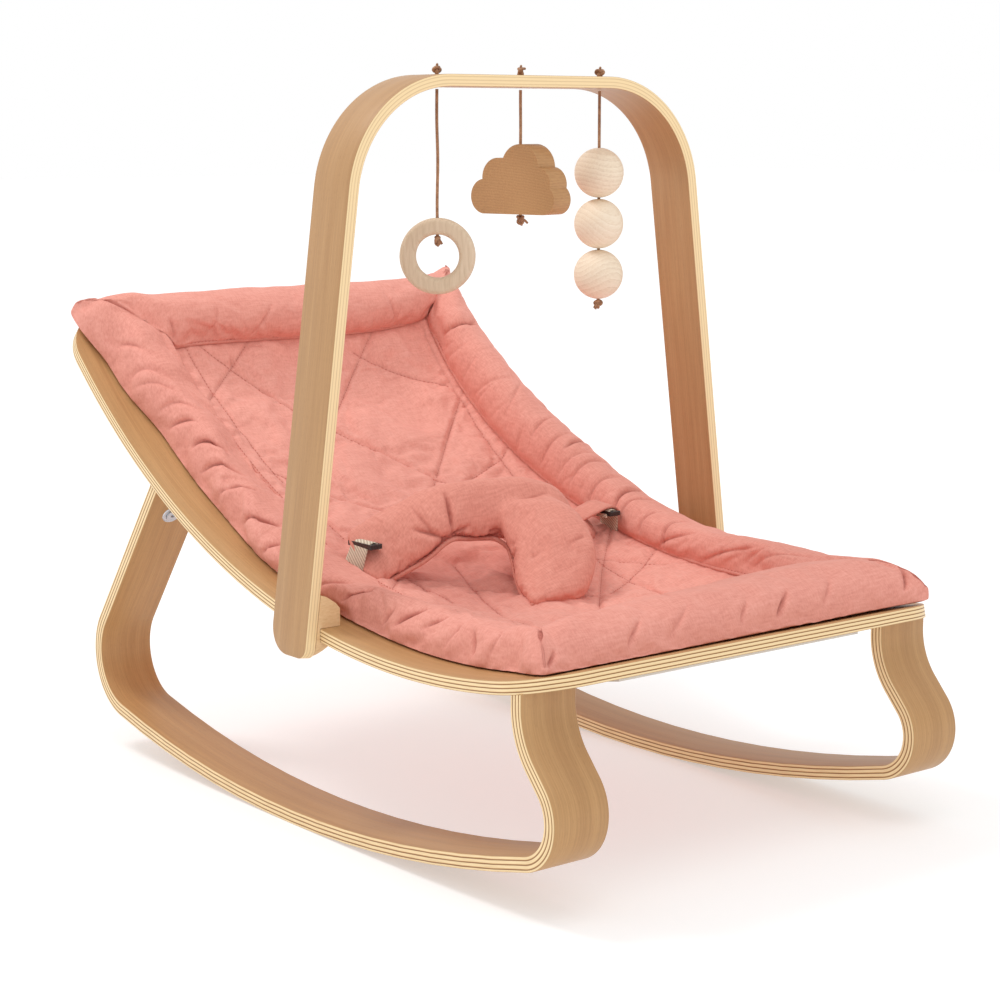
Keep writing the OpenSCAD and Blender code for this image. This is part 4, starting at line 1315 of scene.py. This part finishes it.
def build_harness():
    verts, faces = [], []
    pad_limb(BAND, verts, faces)
    pad_limb(CROTCH, verts, faces)
    obj = new_object("harness_padding", verts, faces, M_PAD)
    re = obj.modifiers.new("remesh", "REMESH")
    re.mode = "VOXEL"
    re.voxel_size = 2.6 * MM
    re.use_smooth_shade = True
    sm = obj.modifiers.new("smooth", "SMOOTH")
    sm.factor = 0.5
    sm.iterations = 4
    apply_modifiers(obj)
    co = coords_of(obj) / MM
    pin = np.where((co[:, 0] < -112) | (co[:, 0] > 108) | (co[:, 2] < 175), 1.0, 0.0)
    cloth_puff(obj, list(pin), 1.6, -0.03, 2.5 * MM, 12, 14.0, 0.4)
    subdivide(obj)
    bpy.context.view_layer.update()
    tree = BVHTree.FromObject(obj, bpy.context.evaluated_depsgraph_get())

    def snap(p):
        hit = tree.find_nearest(Vector(p) * MM)
        return hit[0], hit[1]

    edge = [Vector(p) for p in spline(OPENING, 8)]
    edge = [snap(p) for p in edge]
    pts = coords_of(obj) / MM
    # pucker at the top of the leg opening and creases off its edge
    creases = [(4.5, [(-70, -46, 222), (-66, -40, 232), (-64, -34, 243), (-63, -31, 249)]),
               (3.2, [(-71, -46, 222), (-82, -40, 222), (-96, -32, 226)]),
               (3.0, [(-68, -46, 222), (-58, -48, 226), (-50, -50, 228)]),
               (2.2, [(-36, -40, 214), (-28, -46, 222), (-14, -50, 226)]),
               (1.8, [(-15, -56, 204), (-8, -66, 212), (4, -74, 216)]),
               (2.0, [(-78, -44, 216), (-84, -30, 232), (-86, -22, 240)]),
               (1.4, [(-28, -84, 188), (-16, -92, 198), (-6, -98, 206)]),
               (1.2, [(-100, -34, 200), (-96, -22, 216)]),
               (1.5, [(30, -44, 240), (10, -52, 238), (-6, -50, 236)]),
               (1.3, [(30, -92, 214), (14, -98, 206), (2, -102, 200)])]
    rnd = random.Random(3)
    for k in range(5, len(edge) - 4, 4):
        p, n = edge[k]
        q = p / MM + Vector((rnd.uniform(2, 10), rnd.uniform(-4, 2), rnd.uniform(5, 13)))
        creases.append((rnd.uniform(0.8, 1.9), [tuple(p / MM), tuple(q)]))
    snapped = []
    for depth, line in creases:
        fine = [v for v in spline(line, 4)]
        snapped.append((depth, [tuple(snap(v)[0] / MM) for v in fine]))
    sink = 0.75 * fold_field(pts, snapped, 1.3, 0.3, 5.0) + 0.5 * fold_field(pts, snapped, 5.0, 0.3, 13.0)
    ridge = fold_field(pts, [(1.0, [tuple(p / MM) for p, n in edge])], 3.6, 0.0)
    swell = np.array([noise.noise(Vector(p) / 24.0) for p in pts]) * 1.2
    sink_mesh(obj, sink - swell + 2.0 * ridge)
    # painted shade: darker in the creases and along the edge of the leg opening
    set_attr(obj, "painted_shade", np.clip((sink - 0.5) / 4.0, 0, 0.6) + 0.8 * np.clip(ridge, 0, 1))
    path = [p + n * 1.3 * MM for p, n in edge]
    for _ in range(3):
        path = [path[0]] + [(a + b * 2 + c) / 4 for a, b, c in zip(path, path[1:], path[2:])] + [path[-1]]
    bead = tube_along("harness_piping", path, 2.0 * MM, M_PAD)
    # painted shade: the harness piping is darkened evenly
    set_attr(bead, "painted_shade", [0.25] * len(bead.data.vertices))
    inset_row = []
    for p, n in edge:
        away = Vector((0.25, -0.15, 0.85)) if p.x / MM < -18 else Vector((0.9, -0.35, 0.25))
        q = p + away.normalized() * 6 * MM + n * 3 * MM
        hit = tree.find_nearest(q)
        inset_row.append((hit[0], hit[1]))
    thread = stitches("harness_stitches", [inset_row], M_SEAM, 0.5, 2.3, 1.6, 0.34)
    return obj, bead, thread


harness, harness_bead, harness_thread = build_harness()
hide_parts("harness_pad")
for piece in (harness, harness_bead, harness_thread):
    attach(piece, "seat")


def strap(name, path, width_dir, width, thick, material):
    """Flat webbing along a path in mm."""
    rows = spline(path, 8)
    dirs = spline(width_dir, 8)
    verts, faces, uvs = [], [], []
    s = 0.0
    for i, (p, w) in enumerate(zip(rows, dirs)):
        t = rows[min(len(rows) - 1, i + 1)] - rows[max(0, i - 1)]
        w = w / np.linalg.norm(w)
        nrm = np.cross(t, w)
        nrm /= np.linalg.norm(nrm)
        if i:
            s += float(np.linalg.norm(p - rows[i - 1]))
        ring = [(-0.5, 0), (-0.47, 0.5), (-0.25, 0.5), (0, 0.5), (0.25, 0.5), (0.47, 0.5), (0.5, 0),
                (0.47, -0.5), (0.25, -0.5), (0, -0.5), (-0.25, -0.5), (-0.47, -0.5)]
        for a, b in ring:
            verts.append(Vector(p + w * width * a + nrm * thick * b) * MM)
            uvs.append((a * width * MM, s * MM))
    n, k = len(rows), 12
    for i in range(n - 1):
        for j in range(k):
            m = (j + 1) % k
            faces.append((i * k + j, i * k + m, (i + 1) * k + m, (i + 1) * k + j))
    faces.append(tuple(reversed(range(k))))
    faces.append(tuple(range((n - 1) * k, n * k)))
    return new_object(name, verts, faces, material, uvs)


for label, sx in (("right", -1), ("left", 1)):
    up = [(120.5, -12, 212.0), (122.5, -12, 216.3), (127.0, -12, 218.4), (131.5, -12, 216.3),
          (134.0, -11, 208), (136.5, -8, 196), (137.5, -5, 187)]
    up = [(sx * x, y, z) for x, y, z in up]
    lean = [(0, 1, 0.0)] * 3 + [(0, 1, 0.05), (0, 1, 0.1), (0.08 * sx, 1, 0.2), (0.1 * sx, 1, 0.25)]
    web = strap("harness_webbing_" + label, up, lean, 24, 1.2, M_WEB)
    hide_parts("harness_web_" + label)
    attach(web, "seat")
    finish_node("adjuster_" + label, M_BLACK, 0.9)

# cloth flap from the far end of the band over its adjuster to the seam
flap = [(96, -8, 213), (110, -11, 218.5), (120, -11, 221.5),
        (130, -10, 221.5), (137, -9, 217), (141, -8, 207)]
tab = strap("harness_tab", flap, [(0, 1, 0.1)] * len(flap), 25, 2.2, M_PAD)
# painted shade: the flap is darkened evenly a little
set_attr(tab, "painted_shade", [0.1] * len(tab.data.vertices))
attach(tab, "seat")

finish_node("grip_strip", M_WEBNODE, 0.4)

# ---------------------------------------------------------------- toys
for name in ("bead_top", "bead_middle", "bead_bottom"):
    finish_node(name, M_BEAD, 0.25)
finish_node("toy_ring", M_RING, 0.3)


def knot_path(centre, size, tilt):
    """Overhand knot: a trefoil seen from the side, in mm."""
    out = []
    for k in range(48):
        t = 2 * math.pi * k / 48
        p = Vector((math.sin(t) + 2 * math.sin(2 * t), -math.sin(3 * t) * 1.2,
                    math.cos(t) - 2 * math.cos(2 * t))) * size / 3
        c, s = math.cos(tilt), math.sin(tilt)
        out.append((Vector(centre) + Vector((p.x * c - p.y * s, p.x * s + p.y * c, p.z))) * MM)
    return out


def join(name, parts):
    verts, faces = [], []
    for p in parts:
        base = len(verts)
        verts += [v.co.copy() for v in p.data.vertices]
        faces += [tuple(base + i for i in f.vertices) for f in p.data.polygons]
        mesh = p.data
        bpy.data.objects.remove(p)
        bpy.data.meshes.remove(mesh)
    return new_object(name, verts, faces, M_CORD)


def knot(name, x, z, tilt, tails, stem):
    parts = [tube_along("loop", knot_path((x, ARCH_Y, z), 3.3, tilt), 1.35 * MM, M_CORD, True)]
    for dx, dy, dz in tails:
        pts = [Vector((x, ARCH_Y, z)) + Vector((dx, dy, dz)) * f + Vector((0, 0, 1.2 * math.sin(f * 3.1)))
               for f in np.linspace(0, 1, 8)]
        parts.append(tube_along("tail", [p * MM for p in pts], lambda f: (1.2 - 0.25 * f) * MM, M_CORD))
    if stem:
        pts = [Vector((x, ARCH_Y, lerp(stem[0], stem[1], f))) * MM for f in np.linspace(0, 1, 6)]
        parts.append(tube_along("stem", pts, 1.25 * MM, M_CORD))
    return join(name, parts)


# side, x, lower end of the cord, middle of its knot, body, turn of the knots, way the tails point
TOYS = [("right", -78.0, 461.2, 458.4, "ring_cord", 0.3, 0.5),
        ("middle", 6.0, 475.4, 472.6, "cloud_cord", 1.0, 1.0),
        ("left", 90.0, 403.4, 400.6, "bead_cord", -0.5, -1.0)]
SWING_Z = 575.8
for label, x, z_low, z_knot, body, tilt, lean in TOYS:
    top = knot("arch_knot_" + label, x, 590.2, tilt, [(4.2 * lean, -1, 2.2), (-1.0, -2, 4.5)], (577.8, 590))
    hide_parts("top_knot_" + label)
    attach(top, "arch")
    low = knot("cord_knot_" + label, x, z_knot, tilt + 0.6,
               [(6.0 * lean, -2.0, -3.2), (2.2 * lean, 1.0, -5.0)], None)
    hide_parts("end_knot_" + label)
    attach(low, body)
    curve = bpy.data.curves.new("hanging_cord_" + label, "CURVE")
    curve.dimensions = "3D"
    curve.bevel_depth = 1.25 * MM
    curve.bevel_resolution = 3
    curve.use_fill_caps = True
    sp = curve.splines.new("POLY")
    count = 36
    sp.points.add(count)
    for k in range(count + 1):
        f = k / count
        free = math.sin(math.pi * f) if label != "left" else 0.0
        sp.points[k].co = ((x + 0.35 * free * math.sin(9 * f + x)) * MM,
                           (ARCH_Y + 0.3 * free * math.sin(7 * f + 1)) * MM,
                           lerp(SWING_Z, z_low, f) * MM, 1)
    line = bpy.data.objects.new("hanging_cord_" + label, curve)
    scene.collection.objects.link(line)
    curve.materials.append(M_CORD)
    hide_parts("toy_cord_" + label)
    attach(line, body)


# ---------------------------------------------------------------- floor and light

floor_mat = Nodes("floor_white")
where = floor_mat.coords("Object")
tint = floor_mat.noise(where, 2.0, 2.0)
floor_mat.set(Base_Color=floor_mat.mix(tint, (0.66, 0.66, 0.66, 1), (0.68, 0.68, 0.68, 1)), Roughness=0.9)
# painted light: the floor glows, weaker near the seat and stronger farther out, so the far floor reads white
# while the shadows by the rockers still show
reach = floor_mat.new("ShaderNodeVectorMath", operation="LENGTH")
floor_mat.put(reach.inputs[0], where)
painted_floor_glow = floor_mat.range(reach.outputs["Value"], 0.5, 2.0, 0.41, 0.56)
floor_mat.bsdf.inputs["Specular IOR Level"].default_value = 0.0
floor_mat.bsdf.inputs["Emission Color"].default_value = (1, 1, 1, 1)
floor_mat.put(floor_mat.bsdf.inputs["Emission Strength"], painted_floor_glow)
bpy.ops.mesh.primitive_plane_add(size=40, location=(0, 0, 0))
floor = bpy.context.object
floor.name = "floor"
floor.data.materials.append(floor_mat.mat)


def area(name, where, target, size, power, color=(1, 1, 1)):
    data = bpy.data.lights.new(name, "AREA")
    data.shape = "RECTANGLE"
    data.size, data.size_y = size
    data.energy = power
    data.color = color
    o = bpy.data.objects.new(name, data)
    o.location = where
    o.rotation_mode = "QUATERNION"
    o.rotation_quaternion = (Vector(target) - Vector(where)).to_track_quat("-Z", "Y")
    scene.collection.objects.link(o)
    return o


area("key", (-1.0, 1.1, 2.6), (0, 0, 0.15), (0.7, 0.7), 24.0)
area("front", (-0.3, -1.2, 3.2), (0, 0, 0.25), (1.8, 1.6), 16.0)
world = bpy.data.worlds.new("world")
scene.world = world
world.use_nodes = True
wt = world.node_tree
wt.nodes["Background"].inputs[0].default_value = (1, 1, 1, 1)
path = wt.nodes.new("ShaderNodeLightPath")
level = wt.nodes.new("ShaderNodeMapRange")
level.inputs[3].default_value = 0.82
level.inputs[4].default_value = 1.0
wt.links.new(path.outputs["Is Camera Ray"], level.inputs[0])
wt.links.new(level.outputs[0], wt.nodes["Background"].inputs[1])
scene.view_settings.view_transform = "Standard"
